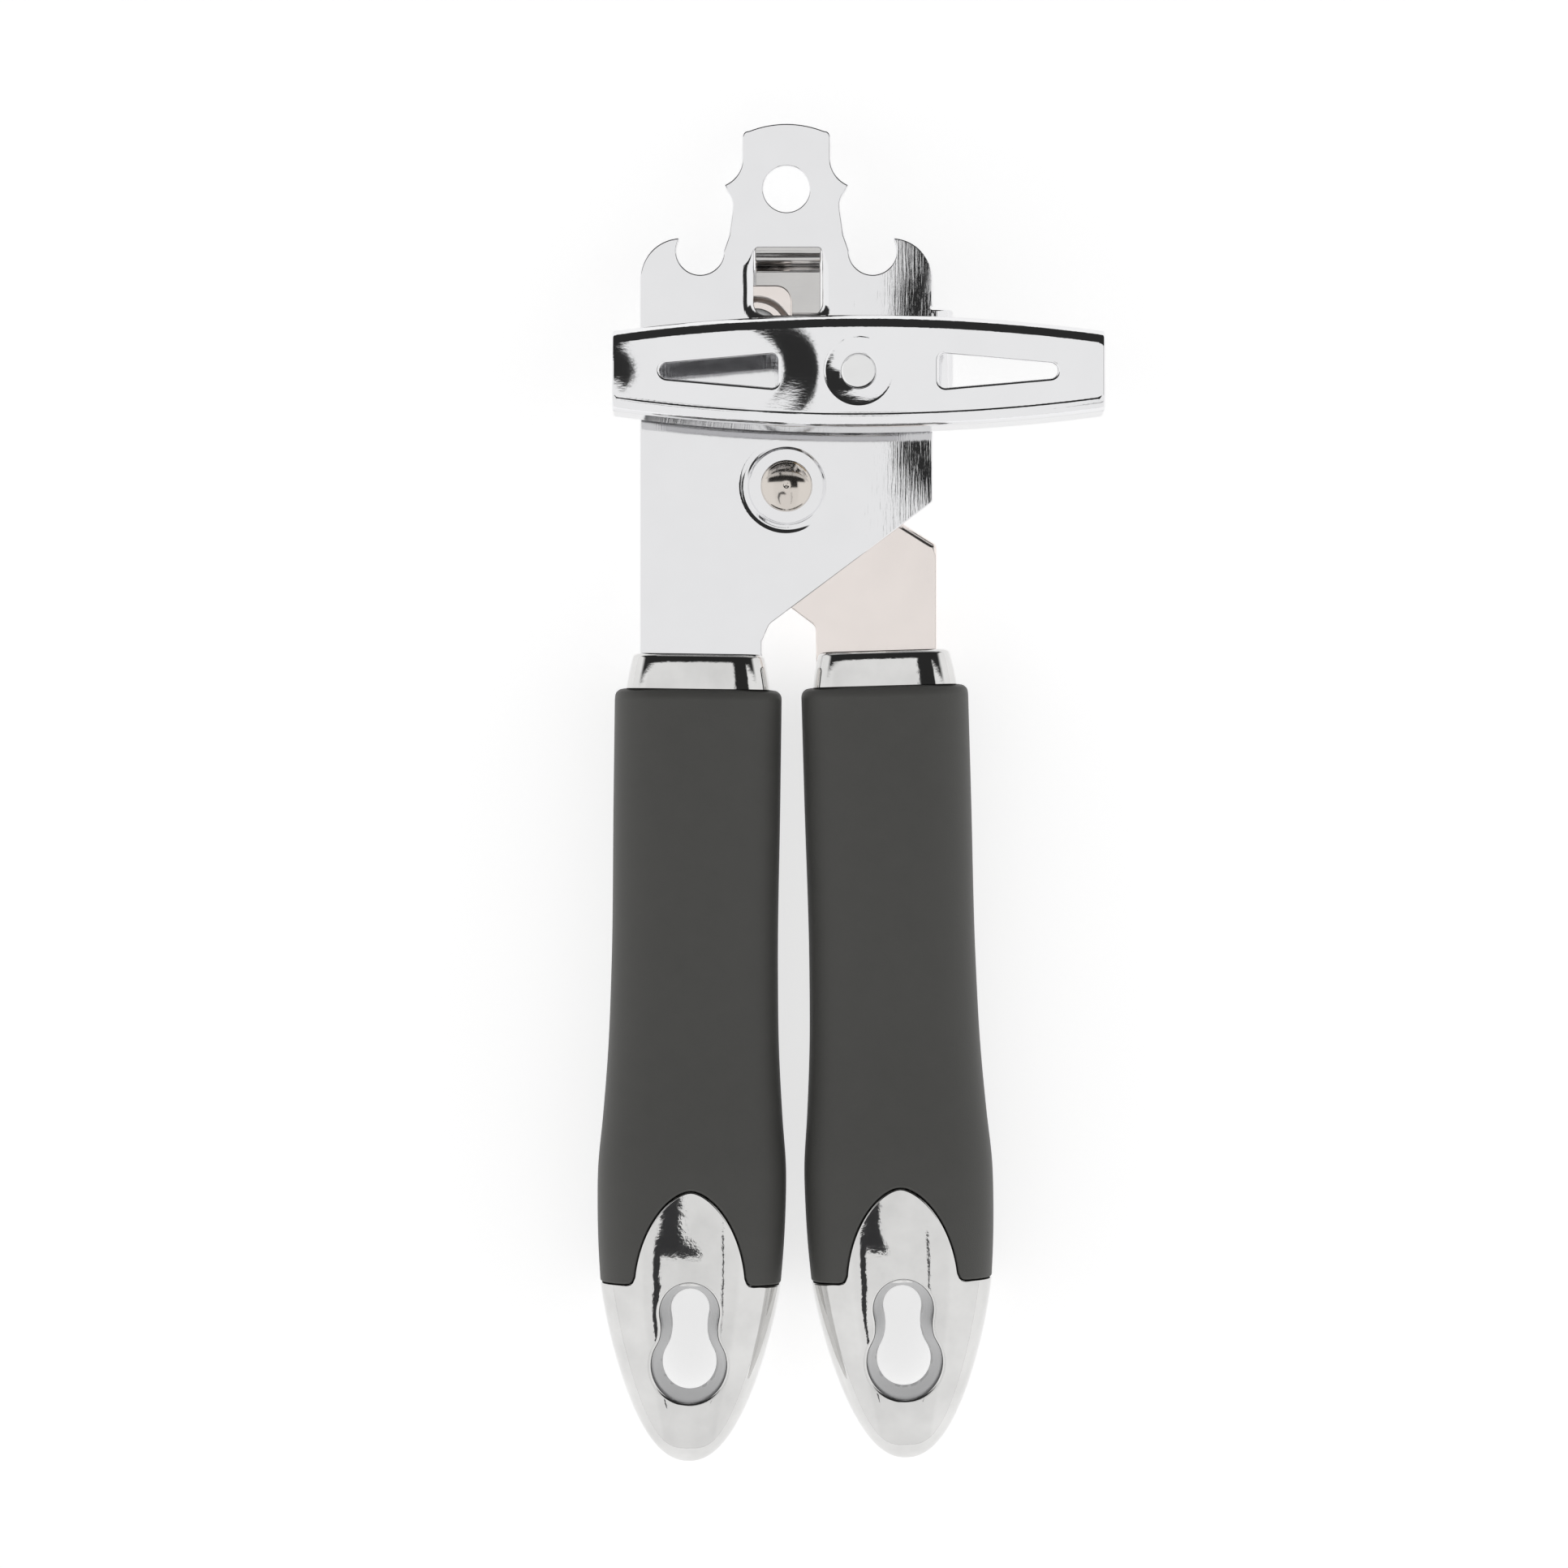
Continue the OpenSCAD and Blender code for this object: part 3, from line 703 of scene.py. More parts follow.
def guideTab():
    # its left corner is scalloped to clear the cutter's screw
    t = tab
    first, drop, second, run = tabRuns()
    total = first + drop + second + run
    scallop = t["scallop"]
    lowest = cutterAt.y + math.sqrt(scallop ** 2 - (cutterAt.x - t["left"]) ** 2)
    biteEnd = cutterAt.x + math.sqrt(scallop ** 2 - (t["foot"] - cutterAt.y) ** 2)
    bite = []
    for x in np.linspace(t["left"], biteEnd, 12)[1:]:
        height = cutterAt.y + math.sqrt(max(scallop ** 2 - (x - cutterAt.x) ** 2, 0))
        bite.append((x, -(total - (height - t["foot"]))))
    outer = [(t["left"], 0.6), (t["left"], -(total - (lowest - t["foot"])))] + bite
    outer += [(t["right"], -total), (t["right"], 0.6)]
    stations = list(np.linspace(0, first, 9)) + list(first + drop + np.linspace(0, second, 7))
    stations += list(first + drop + second + np.linspace(0.6, run, 6))
    columns = np.linspace(t["left"] + 0.7, t["right"] - 0.7, 9)
    inner = np.array([(x, -s) for s in stations for x in columns])
    return bentSheet([outer], inner, placeTab, plate["thick"], [0.2], 0.5)


frontPiece = frontPlate()
print("front plate made:", len(frontPiece.data.polygons))


# The rear plate has the cutter's arm, the dimpled seat and the right-hand tang
rear = dict(top=-0.15, thick=1.6, dimpleRadius=5.1, dimpleDepth=1.1, dimpleFillet=0.5, edge=0.2,
            rivetHole=2.67)


def placeRear(flat, depth):
    x, y = flat[:, 0], flat[:, 1]
    r = np.hypot(x - cutterAt.x, y - cutterAt.y)
    sink = pressedBoss(r, rear["dimpleRadius"], rear["dimpleDepth"], rear["dimpleFillet"])
    return np.stack([x, y, rear["top"] - sink - depth], axis=1)


def rearEdge(points):
    # the sloping edge beside the front plate is rolled over more than the rest
    share = np.clip((points[:, :1] - 8) / 4, 0, 1) * np.clip((points[:, 1:] + 10.5) / 2, 0, 1)
    return rear["edge"] + 0.75 * share, rear["edge"] + 0.4 * share


def rearPlate():
    outer = rounded([
        (-10.6, 30.9, 2.5), (-10.6, -4, 6), (-7.2, -12.4, 5), (0.75, -18.6), (4.5, -21.4, 1.4),
        (4.6, plate["tangFoot"]), (23, plate["tangFoot"]), (23, -8.9, 1.0), (9, -0.1, 3), (7.2, 5, 4),
        (0.87, 12, 6), (0.87, 30.9, 2.5)])
    inner = awayFrom(gridPoints(outer, 1.6), cutterAt.x, cutterAt.y, 6)
    ring = ringPoints(cutterAt.x, cutterAt.y, [2.6, 3.6, 4.55, 4.75, 4.95, 5.15, 5.35, 5.55, 5.75], 60)
    hole = arcPoints(0, 0, rear["rivetHole"], 0, 350, 35)
    shape = bentSheet([outer, hole], np.vstack([inner, ring]), placeRear, rear["thick"],
                      [rearEdge, 0.15], 1.0)
    return makePiece("rearPlate", shape, "rear_lever", ["rear_plate"],
                     materials["satinPlate"])


rearPiece = rearPlate()
print("rear plate made:", len(rearPiece.data.polygons))


# The key is a folded channel whose width follows two long arcs
keyLow, keyHigh = nodeSpan("key")
key = dict(length=keyHigh.x - keyLow.x, midWidth=keyHigh.y - keyLow.y, tipWidth=12.8,
           top=keyHigh.z, depth=keyHigh.z - keyLow.z, thick=1.2, bend=2.0, flare=4.0,
           edge=0.28, slotEdge=0.42, dishRadius=5.1, dishDepth=0.16, dishStep=0.07, stepAt=4.9,
           pit=0.17, pitAt=(-2.3, -0.5), pitRadius=2.9, hubRadius=2.62, lead=0.5, leadEnd=-5.0,
           leadFade=15, curl=0.42, curlStart=-30.4, curlRun=6.5, curlWidth=7.5, crease=0.035)


def keyHalfWidth(x):
    rise = (key["midWidth"] - key["tipWidth"]) / 2
    half = key["length"] / 2
    radius = (half * half + rise * rise) / (2 * rise)
    return key["midWidth"] / 2 - (radius - np.sqrt(radius * radius - x * x))


keySweep = math.radians(90 - key["flare"])
keyBendRun = key["bend"] * keySweep
keyFlange = (key["depth"] - key["bend"] * (1 - math.cos(keySweep))) / math.sin(keySweep)
keyOverhang = key["bend"] * math.sin(keySweep) + keyFlange * math.cos(keySweep)


def keyFlat(x):
    return keyHalfWidth(x) - keyOverhang


def keyDish(x, s):
    # the dish round the hub: a step at its rim, steeper on the left, and a shallow pit
    reach = np.hypot(x, s)
    t = np.clip(reach / key["dishRadius"], 0, 1)
    dish = key["dishDepth"] * (1 - t ** 4)
    dish = dish + key["dishStep"] * (1 - np.clip((reach - key["stepAt"]) / 0.3, 0, 1) ** 2)
    dish = dish * np.clip(0.62 - 0.5 * (0.85 * x + 0.35 * s) / np.maximum(reach, 1), 0.3, 1)
    pitX, pitY = key["pitAt"]
    return dish + key["pit"] * hump(np.hypot(x - pitX, s - pitY) / key["pitRadius"])


def keyWaves(x, s):
    # how far the face stands below its highest level: the fall from the left slot to the hub,
    # the upward curl of the left end and a fine crease along the lower bend
    end = key["leadEnd"]
    start = -12.2 - 0.15 * s * s
    ramp = np.clip((x - start) / (end - start), 0, 1)
    lead = key["lead"] * np.where(x < end, 0.5 - 0.5 * np.cos(math.pi * ramp),
                                  hump((x - end) / key["leadFade"]))
    curl = key["curl"] * np.clip((key["curlStart"] - x) / key["curlRun"], 0, 1) ** 2
    curl = curl * hump(s / key["curlWidth"])
    crease = key["crease"] * hump((s + keyFlat(x) - 0.12) / 0.22)
    return key["curl"] - curl + lead + crease


def placeKey(flat, depth):
    x, s = flat[:, 0], flat[:, 1]
    side = np.sign(s)
    flatHalf = keyFlat(x)
    over = np.maximum(np.abs(s) - flatHalf, 0)
    turn = np.minimum(over / key["bend"], keySweep)
    straight = np.maximum(over - keyBendRun, 0)
    r = key["bend"] - depth
    out = np.minimum(np.abs(s), flatHalf) + r * np.sin(turn) + straight * math.cos(keySweep)
    z = key["top"] - keyWaves(x, s) - keyDish(x, s) - key["bend"]
    z = z + r * np.cos(turn) - straight * math.sin(keySweep)
    return np.stack([keyAt.x + x, keyAt.y + side * out, z], axis=1)


def keySlot(way):
    near, far, half, corner, end = 12.0, 29.8, 2.55, 1.0, 1.15
    tilt = math.degrees(math.atan2(half - end, far - end - near - corner))
    right = arcPoints(near + corner, half - corner, corner, 180, 90 - tilt, 6)
    right += arcPoints(far - end, 0, end, 90 - tilt, tilt - 90, 12)
    right += arcPoints(near + corner, corner - half, corner, tilt - 90, -180, 6)
    return [(way * x, y) for x, y in right]


def keyPiece():
    half = key["length"] / 2
    total = keyBendRun + keyFlange
    xs = np.linspace(-half, half, 64)
    upper = [(x, keyFlat(x) + total) for x in xs]
    outer = [(x, -(keyFlat(x) + total)) for x in xs] + upper[::-1]
    points = []
    for x in np.arange(-half + 0.7, half - 0.3, 0.9):
        edge = keyFlat(x)
        rows = [edge - 0.01 + keyBendRun * k / 8 for k in range(9)]
        rows += [edge + keyBendRun + keyFlange * f for f in (0.15, 0.4, 0.7)]
        rows += [edge - d for d in (0.08, 0.16, 0.24, 0.36)]
        points += [(x, side * s) for s in rows for side in (1, -1)]
        points += [(x, edge * f / 5) for f in range(-4, 5)
                   if math.hypot(x, edge * f / 5) > key["dishRadius"] + 0.4]
    ring = ringPoints(0, 0, [*np.arange(3.1, 4.8, 0.3), *np.arange(4.85, 5.3, 0.08)], 72)
    hub = arcPoints(0, 0, key["hubRadius"], 0, 354, 59)
    loops = [outer, keySlot(1), keySlot(-1), hub]
    edges = [key["edge"], key["slotEdge"], key["slotEdge"], 0.16]
    shape = bentSheet(loops, np.vstack([np.array(points), ring]), placeKey, key["thick"], edges, 1.2)
    return makePiece("turningKey", shape, "key_drive", ["key"], materials["brightKey"])


keyObject = keyPiece()
print("key made:", len(keyObject.data.polygons))


# Each tang carries a soft grip, a bright ferrule and a bright end cap
handles = {
    "left": dict(top=(-13.45, -28.5), tilt=-0.75, body="front_lever"),
    "right": dict(top=(14.95, -28.0), tilt=1.65, body="rear_lever"),
}
handle = dict(gripTop=2.6, seam=93.4, tip=120.87, square=2.9, shoulder=1.3,
              tongueHalf=8.5, tongueTip=79.0, tongueFoot=94.4, gap=0.16, rim=0.35,
              loopHigh=97.4, loopLow=105.6, loopSmall=4.6, loopLarge=5.85, loopNeck=4.15, loopRim=0.5,
              draft=1.6, seamHalf=13.8, seamThin=9.58, columns=61, gripWall=1.6, capWall=1.4, capRim=0.25,
              lineStep=0.7, rowStep=1.1, mapHalf=12.8, mapThin=9.1)
gripStations = np.array([
    # distance down the axis, half width, half thickness
    (2.6, 12.78, 8.9), (20, 12.78, 9.05), (45, 12.75, 9.05), (58, 13.1, 9.15), (68, 13.75, 9.5),
    (76, 14.4, 9.77), (82, 14.4, 9.79), (88, 14.18, 9.775), (93.4, 13.8, 9.58)])
handleZ = sum(v.z for v in nodeSpan("left_grip")) / 2


def smoothColumn(v, xs, ys):
    # a smooth curve through the stations, with the slopes taken from their neighbours
    slope = np.gradient(ys, xs)
    k = np.clip(np.searchsorted(xs, v) - 1, 0, len(xs) - 2)
    h = xs[k + 1] - xs[k]
    t = np.clip((v - xs[k]) / h, 0, 1)
    return ((2 * t ** 3 - 3 * t ** 2 + 1) * ys[k] + (t ** 3 - 2 * t ** 2 + t) * h * slope[k]
            + (3 * t ** 2 - 2 * t ** 3) * ys[k + 1] + (t ** 3 - t ** 2) * h * slope[k + 1])


def sectionSize(v):
    # half width and half thickness at v, over the grip and the cap
    h = handle
    t = np.clip((v - h["seam"]) / (h["tip"] - h["seam"]), 0, 1)
    taper = np.power(np.maximum(1 - np.power(t, 1.2), 0), 0.46)
    halfW = np.where(v <= h["seam"], smoothColumn(v, gripStations[:, 0], gripStations[:, 1]),
                     h["seamHalf"] * taper)
    thin = 0.22 + 0.78 * np.power(1 - np.power(t, 1.7), 0.62) - 0.05 * t * (1 - t) ** 3
    thin = thin * np.power(np.maximum(1 - np.power(t, 12), 0), 0.5)
    halfT = np.where(v <= h["seam"], smoothColumn(v, gripStations[:, 0], gripStations[:, 2]),
                     h["seamThin"] * thin)
    past = np.clip((v - h["gripTop"]) / h["shoulder"], 0, 1)
    shrink = h["shoulder"] * (1 - np.sqrt(np.maximum(1 - (1 - past) ** 2, 0)))
    return np.maximum(halfW - shrink, 0.02), np.maximum(halfT - shrink, 0.02)


# The skin is drawn on a flat map: across is the distance round the section from the
# crest, down is the distance along the handle, stretched near the tip
def sectionTable():
    share = 0.5 - 0.5 * np.cos(np.linspace(0, math.pi, 1201))
    turn = share * math.pi / 2
    power = 2 / handle["square"]
    u = handle["mapHalf"] * np.power(np.cos(turn).clip(0), power)
    z = handle["mapThin"] * np.power(np.sin(turn).clip(0), power)
    run = np.concatenate([[0], np.cumsum(np.hypot(np.diff(u), np.diff(z)))])
    return turn, run


turnTable, runTable = sectionTable()
sideRun = float(runTable[-1])
capRun = handle["tip"] - handle["seam"]
tipRun = handle["seam"] + capRun * math.pi / 2


def downTo(q):
    past = np.clip((q - handle["seam"]) / capRun, 0, math.pi / 2)
    return np.where(q <= handle["seam"], q, handle["seam"] + capRun * np.sin(past))


def mapDown(v):
    past = np.clip((v - handle["seam"]) / capRun, 0, 1)
    return v if v <= handle["seam"] else handle["seam"] + capRun * math.asin(past)


def mapAcross(u, v):
    halfW, _ = sectionSize(np.array([v], float))
    turn = math.acos(min(abs(u) / halfW[0], 1.0) ** (handle["square"] / 2))
    return math.copysign(sideRun - float(np.interp(turn, turnTable, runTable)), u)


def mapPlan(points):
    return [(mapAcross(u, v), mapDown(v)) for u, v in points]


def handleAxis(side):
    # the direction down the handle
    a = math.radians(handles[side]["tilt"])
    return math.sin(a), -math.cos(a), 0


def toPivot(side, u, v, z):
    spec = handles[side]
    a = math.radians(spec["tilt"])
    x = spec["top"][0] + u * math.cos(a) + v * math.sin(a)
    y = spec["top"][1] + u * math.sin(a) - v * math.cos(a)
    return np.stack([x, y, handleZ + z], axis=1)


def skinPoint(side, flat):
    across, q = flat[:, 0], flat[:, 1]
    v = downTo(q)
    halfW, halfT = sectionSize(v)
    left = sideRun - np.abs(across)
    turn = np.sign(left) * np.interp(np.abs(left), runTable, turnTable)
    power = 2 / handle["square"]
    u = np.sign(across) * halfW * np.power(np.cos(turn).clip(0), power)
    z = np.sign(turn) * halfT * np.power(np.abs(np.sin(turn)), power)
    return toPivot(side, u, v, z)


def skinFrame(side, flat):
    tiny = 2e-3
    base = skinPoint(side, flat)
    along = (skinPoint(side, flat + [tiny, 0]) - skinPoint(side, flat - [tiny, 0])) / (2 * tiny)
    down = (skinPoint(side, flat + [0, tiny]) - skinPoint(side, flat - [0, tiny])) / (2 * tiny)
    normal = unit(np.cross(down, along))
    normal[flat[:, 1] > tipRun - 1e-6] = handleAxis(side)
    return base, normal, along, down


def skinInset(side, line, into, fixed=()):
    # the map direction, per millimetre, that leads square from a line into the material
    p = np.array(line)
    ahead = np.gradient(p, axis=0)
    _, normal, along, down = skinFrame(side, p)
    run = along * ahead[:, :1] + down * ahead[:, 1:]
    square = unit(np.cross(normal, run)) * into
    g11 = np.sum(along * along, axis=1)
    g12 = np.sum(along * down, axis=1)
    g22 = np.sum(down * down, axis=1)
    r1, r2 = np.sum(along * square, axis=1), np.sum(down * square, axis=1)
    det = g11 * g22 - g12 * g12
    way = np.stack([(r1 * g22 - r2 * g12) / det, (r2 * g11 - r1 * g12) / det], axis=1)
    for i in fixed:
        way[i] = (0, math.copysign(1, way[i][1]))
    return way


def spread(line, step):
    result = []
    for a, b in zip(line[:-1], line[1:]):
        pieces = max(1, math.ceil(math.dist(a, b) / step))
        result += [(a[0] + (b[0] - a[0]) * k / pieces, a[1] + (b[1] - a[1]) * k / pieces)
                   for k in range(pieces)]
    return result + [line[-1]]


def tongueLine(grow):
    # plan line from the right side, along the seam, over the tongue and out to the left side
    h = handle
    seam = h["seam"] - grow
    length = h["tongueFoot"] - h["tongueTip"] + 0.01
    right = [(h["tongueHalf"] + 1.25 + grow, seam), (h["tongueHalf"] + 0.55 + grow, seam - 0.12),
             (h["tongueHalf"] + 0.2 + grow, seam - 0.5)]
    for t in np.linspace(0.92, 0, 30) ** 1.6:
        v = h["tongueTip"] + t * (h["tongueFoot"] - h["tongueTip"] - 0.4)
        right.append((h["tongueHalf"] * (1 - ((h["tongueFoot"] - v) / length) ** 2) ** 0.6 + grow, v - grow))
    right[-1] = (0.0, h["tongueTip"] - grow)
    return right + [(-u, v) for u, v in right[-2::-1]]


def parting(grow):
    # the line where grip and cap meet on the flat map, from the right side to the left
    step = handle["lineStep"]
    line = mapPlan(spread(tongueLine(grow), step))
    seam = line[0][1]
    first = spread([(sideRun, seam), line[0]], step)[:-1]
    return first + line + spread([line[-1], (-sideRun, seam)], step)[1:]


def rimRings(shape, side, line, way, rim, lastTurn, count):
    # rings that roll the edge of the skin over, and where the last one lies and leans
    rings = []
    for turn in np.radians(np.linspace(0, lastTurn, count)):
        spot = np.array(line) + way * rim * (1 - math.sin(turn))
        base, normal, along, down = skinFrame(side, spot)
        outward = unit(-(along * way[:, :1] + down * way[:, 1:]))
        place = base - normal * rim * (1 - math.cos(turn))
        rings.append(shape.addPoints(place, unit(normal * math.cos(turn) + outward * math.sin(turn))))
    return rings, base, normal, outward, place


def shadedLoopWall(shape, side, hole, way):
    # the wall of the hanging loop narrows to the middle of the handle
    rings, _, _, outward, place = rimRings(shape, side, hole, way, handle["loopRim"], 82, 7)
    rimSteps = len(rings) - 2
    ahead = np.roll(place, -1, axis=0) - np.roll(place, 1, axis=0)
    flatOut = unit(np.cross(ahead, [0, 0, 1.0]))
    flatOut *= np.sign(np.sum(flatOut * outward, axis=1))[:, None]
    for share in (0.25, 0.5, 0.75, 1.0):
        sunk = place.copy()
        sunk[:, 2] += (handleZ - place[:, 2]) * share
        sunk += flatOut * handle["draft"] * share
        rings.append(shape.addPoints(sunk, unit(flatOut + [0, 0, handle["draft"] / 8])))
    # past the rolled rim the wall's faces are marked for the darker trim, painted shade
    for step, (a, b) in enumerate(zip(rings[:-1], rings[1:])):
        shape.addStrip(a, b, len(hole), mark=step >= rimSteps)


def skinHalf(side, line, into, chain, hole, rim, wall):
    # half of a skin: line is the parting line, chain closes the map outline beyond it
    shape = Shape()
    way = skinInset(side, line, into, (0, len(line) - 1))
    outline = [tuple(p) for p in np.array(line) + way * rim] + chain
    mapped = [outline]
    if hole:
        holeWay = skinInset(side, np.array(hole + hole[:1]), 1)[:-1]
        mapped.append([tuple(p) for p in np.array(hole) + holeWay * handle["loopRim"]])
    low, high = min(p[1] for p in outline), max(p[1] for p in outline)
    grid = np.array([(x, y) for y in np.arange(low + 0.6, high, 1.15)
                     for x in np.linspace(-sideRun, sideRun, 41)[1:-1]])
    flat, tris = fillLoops(mapped, grid)
    base, normal, _, _ = skinFrame(side, flat)
    shape.addFlat(flat, tris, shape.addPoints(base, normal), True)
    rings, base, normal, outward, _ = rimRings(shape, side, line, way, rim, 90, 5)
    rings.append(shape.addPoints(base - normal * wall, outward))
    for a, b in zip(rings[:-1], rings[1:]):
        shape.addStrip(a, b, len(line), False)
    if hole:
        shadedLoopWall(shape, side, hole, holeWay)
    return shape


def mirrored(shape):
    back = Shape()
    points = shape.points.copy()
    points[:, 2] = 2 * handleZ - points[:, 2]
    back.addPoints(points, shape.normals * [1, 1, -1])
    back.faces = [face[::-1] for face in shape.faces]
    back.marked = list(shape.marked)
    return back


def crossFace(side, across, q, sink, out):
    # a flat face across the whole handle; out is +1 where it looks down the handle
    base, normal, _, _ = skinFrame(side, np.array([(x, q) for x in across]))
    front = base - normal * sink
    rear = front[1:-1][::-1] * [1, 1, -1] + [0, 0, 2 * handleZ]
    ring = np.vstack([front, rear])
    n = len(ring)
    lean = np.array([handleAxis(side)]) * out
    shape = Shape()
    start = shape.addPoints(np.vstack([ring, ring.mean(axis=0)[None, :]]), np.repeat(lean, n + 1, axis=0))
    for k in range(n):
        corners = (start + k, start + n, start + (k + 1) % n)
        shape.faces.append(corners if out > 0 else corners[::-1])
    return shape


def tongueFloor(side, line, wall, out):
    # the sunken face under the tongue
    shape = Shape()
    seam = line[0][1]
    first = next(i for i, p in enumerate(line) if p[1] < seam - 1e-6)
    last = len(line) - 1 - next(i for i, p in enumerate(line[::-1]) if p[1] < seam - 1e-6)
    region = line[first - 1:last + 2]
    region = region + spread([region[-1], region[0]], handle["lineStep"])[1:-1]
    grid = np.array([(x, y) for y in np.arange(handle["tongueTip"], seam, 1.5)
                     for x in np.arange(-9, 9.1, 1.5)])
    flat, tris = fillLoops([region], grid)
    base, normal, _, _ = skinFrame(side, flat)
    shape.addFlat(flat, tris, shape.addPoints(base - normal * wall, normal * out), out > 0)
    return shape


def seamSection(side, line, wall, out):
    # the end of the skin at the seam, as one flat face through front and back
    seam = line[0][1]
    across = [p[0] for p in line if p[1] > seam - 1e-6]
    rightFoot = min(a for a in across if a > 0)
    leftFoot = max(a for a in across if a < 0)
    between = [p[0] for p in spread([(leftFoot, seam), (rightFoot, seam)], handle["lineStep"])][1:-1]
    return crossFace(side, sorted(set(across + between), reverse=True), seam, wall, out)


def skinPiece(side, line, into, rows, endRow, hole, rim, wall, topFace):
    # both halves of a grip or a cap; into is -1 above the parting line and +1 below it
    way = skinInset(side, line, 1, (0, len(line) - 1))
    turned = into if way[0][1] > 0 else -into
    columns = np.linspace(-sideRun, sideRun, handle["columns"])[1:-1]
    chain = [(-sideRun, float(v)) for v in rows] + [(float(x), endRow) for x in columns]
    chain += [(sideRun, float(v)) for v in rows[::-1]]
    half = skinHalf(side, line, turned, chain, hole, rim, wall)
    half.addShape(tongueFloor(side, line, wall, -into))
    whole = Shape().addShape(half).addShape(mirrored(half))
    if topFace:
        across = np.linspace(sideRun, -sideRun, handle["columns"])
        whole.addShape(crossFace(side, across, endRow, 0, -1))
    whole.addShape(seamSection(side, line, wall, -into))
    return whole


def gripPiece(side):
    h = handle
    line = parting(h["gap"])
    step = h["rowStep"]
    rows = list(np.arange(line[0][1] - h["rim"] - step, h["gripTop"] + h["shoulder"], -step))
    rows += list(h["gripTop"] + h["shoulder"] * (1 - np.cos(np.linspace(math.pi / 2, 0, 7))))
    whole = skinPiece(side, line, -1, rows, h["gripTop"], None, h["rim"], h["gripWall"], True)
    return makePiece(side + "Grip", whole, handles[side]["body"], [side + "_grip"],
                     materials["softGrip"])


def keyhole():
    h = handle
    small, large, neck = h["loopSmall"], h["loopLarge"], h["loopNeck"]
    up = math.degrees(math.asin(neck / small))
    low = math.degrees(math.asin(neck / large))
    right = [(small * math.sin(math.radians(a)), h["loopHigh"] - small * math.cos(math.radians(a)))
             for a in np.linspace(0, 180 - up, 20)]
    right += [(large * math.sin(math.radians(a)), h["loopLow"] - large * math.cos(math.radians(a)))
              for a in np.linspace(low, 180, 26)]
    soft = right + [(-u, v) for u, v in right[-2:0:-1]]
    for _ in range(3):
        soft = [tuple((np.array(soft[i - 1]) + 2 * np.array(p) + np.array(soft[(i + 1) % len(soft)])) / 4)
                for i, p in enumerate(soft)]
    return soft


def capPiece(side):
    h = handle
    line = parting(0.0)
    step = h["rowStep"]
    rows = list(np.arange(line[0][1] + h["rim"] + step, tipRun - 0.4, step)) + [tipRun]
    whole = skinPiece(side, line, 1, rows, tipRun, mapPlan(keyhole()), h["capRim"], h["capWall"], False)
    # the loop's walls take the darker trim, painted shade
    return makePiece(side + "EndCap", whole, handles[side]["body"], [side + "_end_cap"],
                     materials["brightTrim"], second=materials["shadedLoopWall"])


def ferrulePiece(side):
    # a short squared tube with a rolled top edge; each station is distance, half width, half thickness
    top, foot, roll, steps = -2.8, 2.58, 1.12, 128
    stations = [(top + 0.75 * (1 - math.cos(a)), 9.0 + roll * math.sin(a), 6.1 + roll * math.sin(a))
                for a in np.linspace(0, math.pi / 2, 7)]
    stations += [(-1.2, 10.33, 7.27), (0.4, 10.66, 7.34), (2.0, 10.92, 7.4), (foot, 11.0, 7.42)]
    turns = np.linspace(0, 2 * math.pi, steps, endpoint=False)
    power = 2 / 5.0

    def ring(v, halfW, halfT):
        u = halfW * np.sign(np.cos(turns)) * np.abs(np.cos(turns)) ** power
        z = halfT * np.sign(np.sin(turns)) * np.abs(np.sin(turns)) ** power
        return toPivot(side, u, np.full_like(u, v), z)

    shape = Shape()
    starts = [shape.addPoints(ring(*s), np.zeros((steps, 3))) for s in stations]
    for a, b in zip(starts[:-1], starts[1:]):
        shape.addStrip(a, b, steps)
    for start, v in ((starts[0], top), (starts[-1], foot)):
        middle = toPivot(side, np.zeros(1), np.full(1, v), np.zeros(1))
        centre = shape.addPoints(middle, np.zeros((1, 3)))
        shape.faces += [(start + k, start + (k + 1) % steps, centre) for k in range(steps)]
    return makePiece(side + "Ferrule", shape, handles[side]["body"], [side + "_ferrule"],
                     materials["brightTrim"], False, 40)


for sideName in handles:
    gripPiece(sideName)
    capPiece(sideName)
    ferrulePiece(sideName)
    print("handle made:", sideName)


# Turned parts: the rivet, the shaft, the bush, the washers, the screw and the cutting wheel
def softened(profile, bevel):
    # the corners of a closed profile cut back by small arcs
    result = []
    count = len(profile)
    for i, corner in enumerate(profile):
        here = Vector(corner)
        back, ahead = Vector(profile[i - 1]) - here, Vector(profile[(i + 1) % count]) - here
        if here.x < 1e-6 or back.length < bevel or ahead.length < bevel:
            result.append(tuple(here))
            continue
        cut = min(bevel, back.length * 0.45, ahead.length * 0.45)
        a, b = here + back.normalized() * cut, here + ahead.normalized() * cut
        for t in (0, 0.25, 0.5, 0.75, 1):
            mid = a * (1 - t) ** 2 + here * 2 * t * (1 - t) + b * t * t
            result.append(tuple(mid))
    return result


def ringProfile(outer, inner, low, high, bevel=0.12):
    return softened([(inner, low), (outer, low), (outer, high), (inner, high)], bevel)


def turnedPiece(name, profile, centre, body, node, material, sharp=35):
    return makePiece(name, lathe(profile, centre), body, [node], materials[material], False, sharp)


# Heights of the stack, from the rear face of the front plate
layers = dict(bossTop=2.4, rearZ=-1.75, seat=-2.85, wheelTop=-1.4, wheelLow=-4.6,
              cutterTop=-5.15, cutterLow=-6.25, keyUnder=20.9)
rivet = dict(shank=2.6, head=3.95, dome=1.6, dimple=0.38)


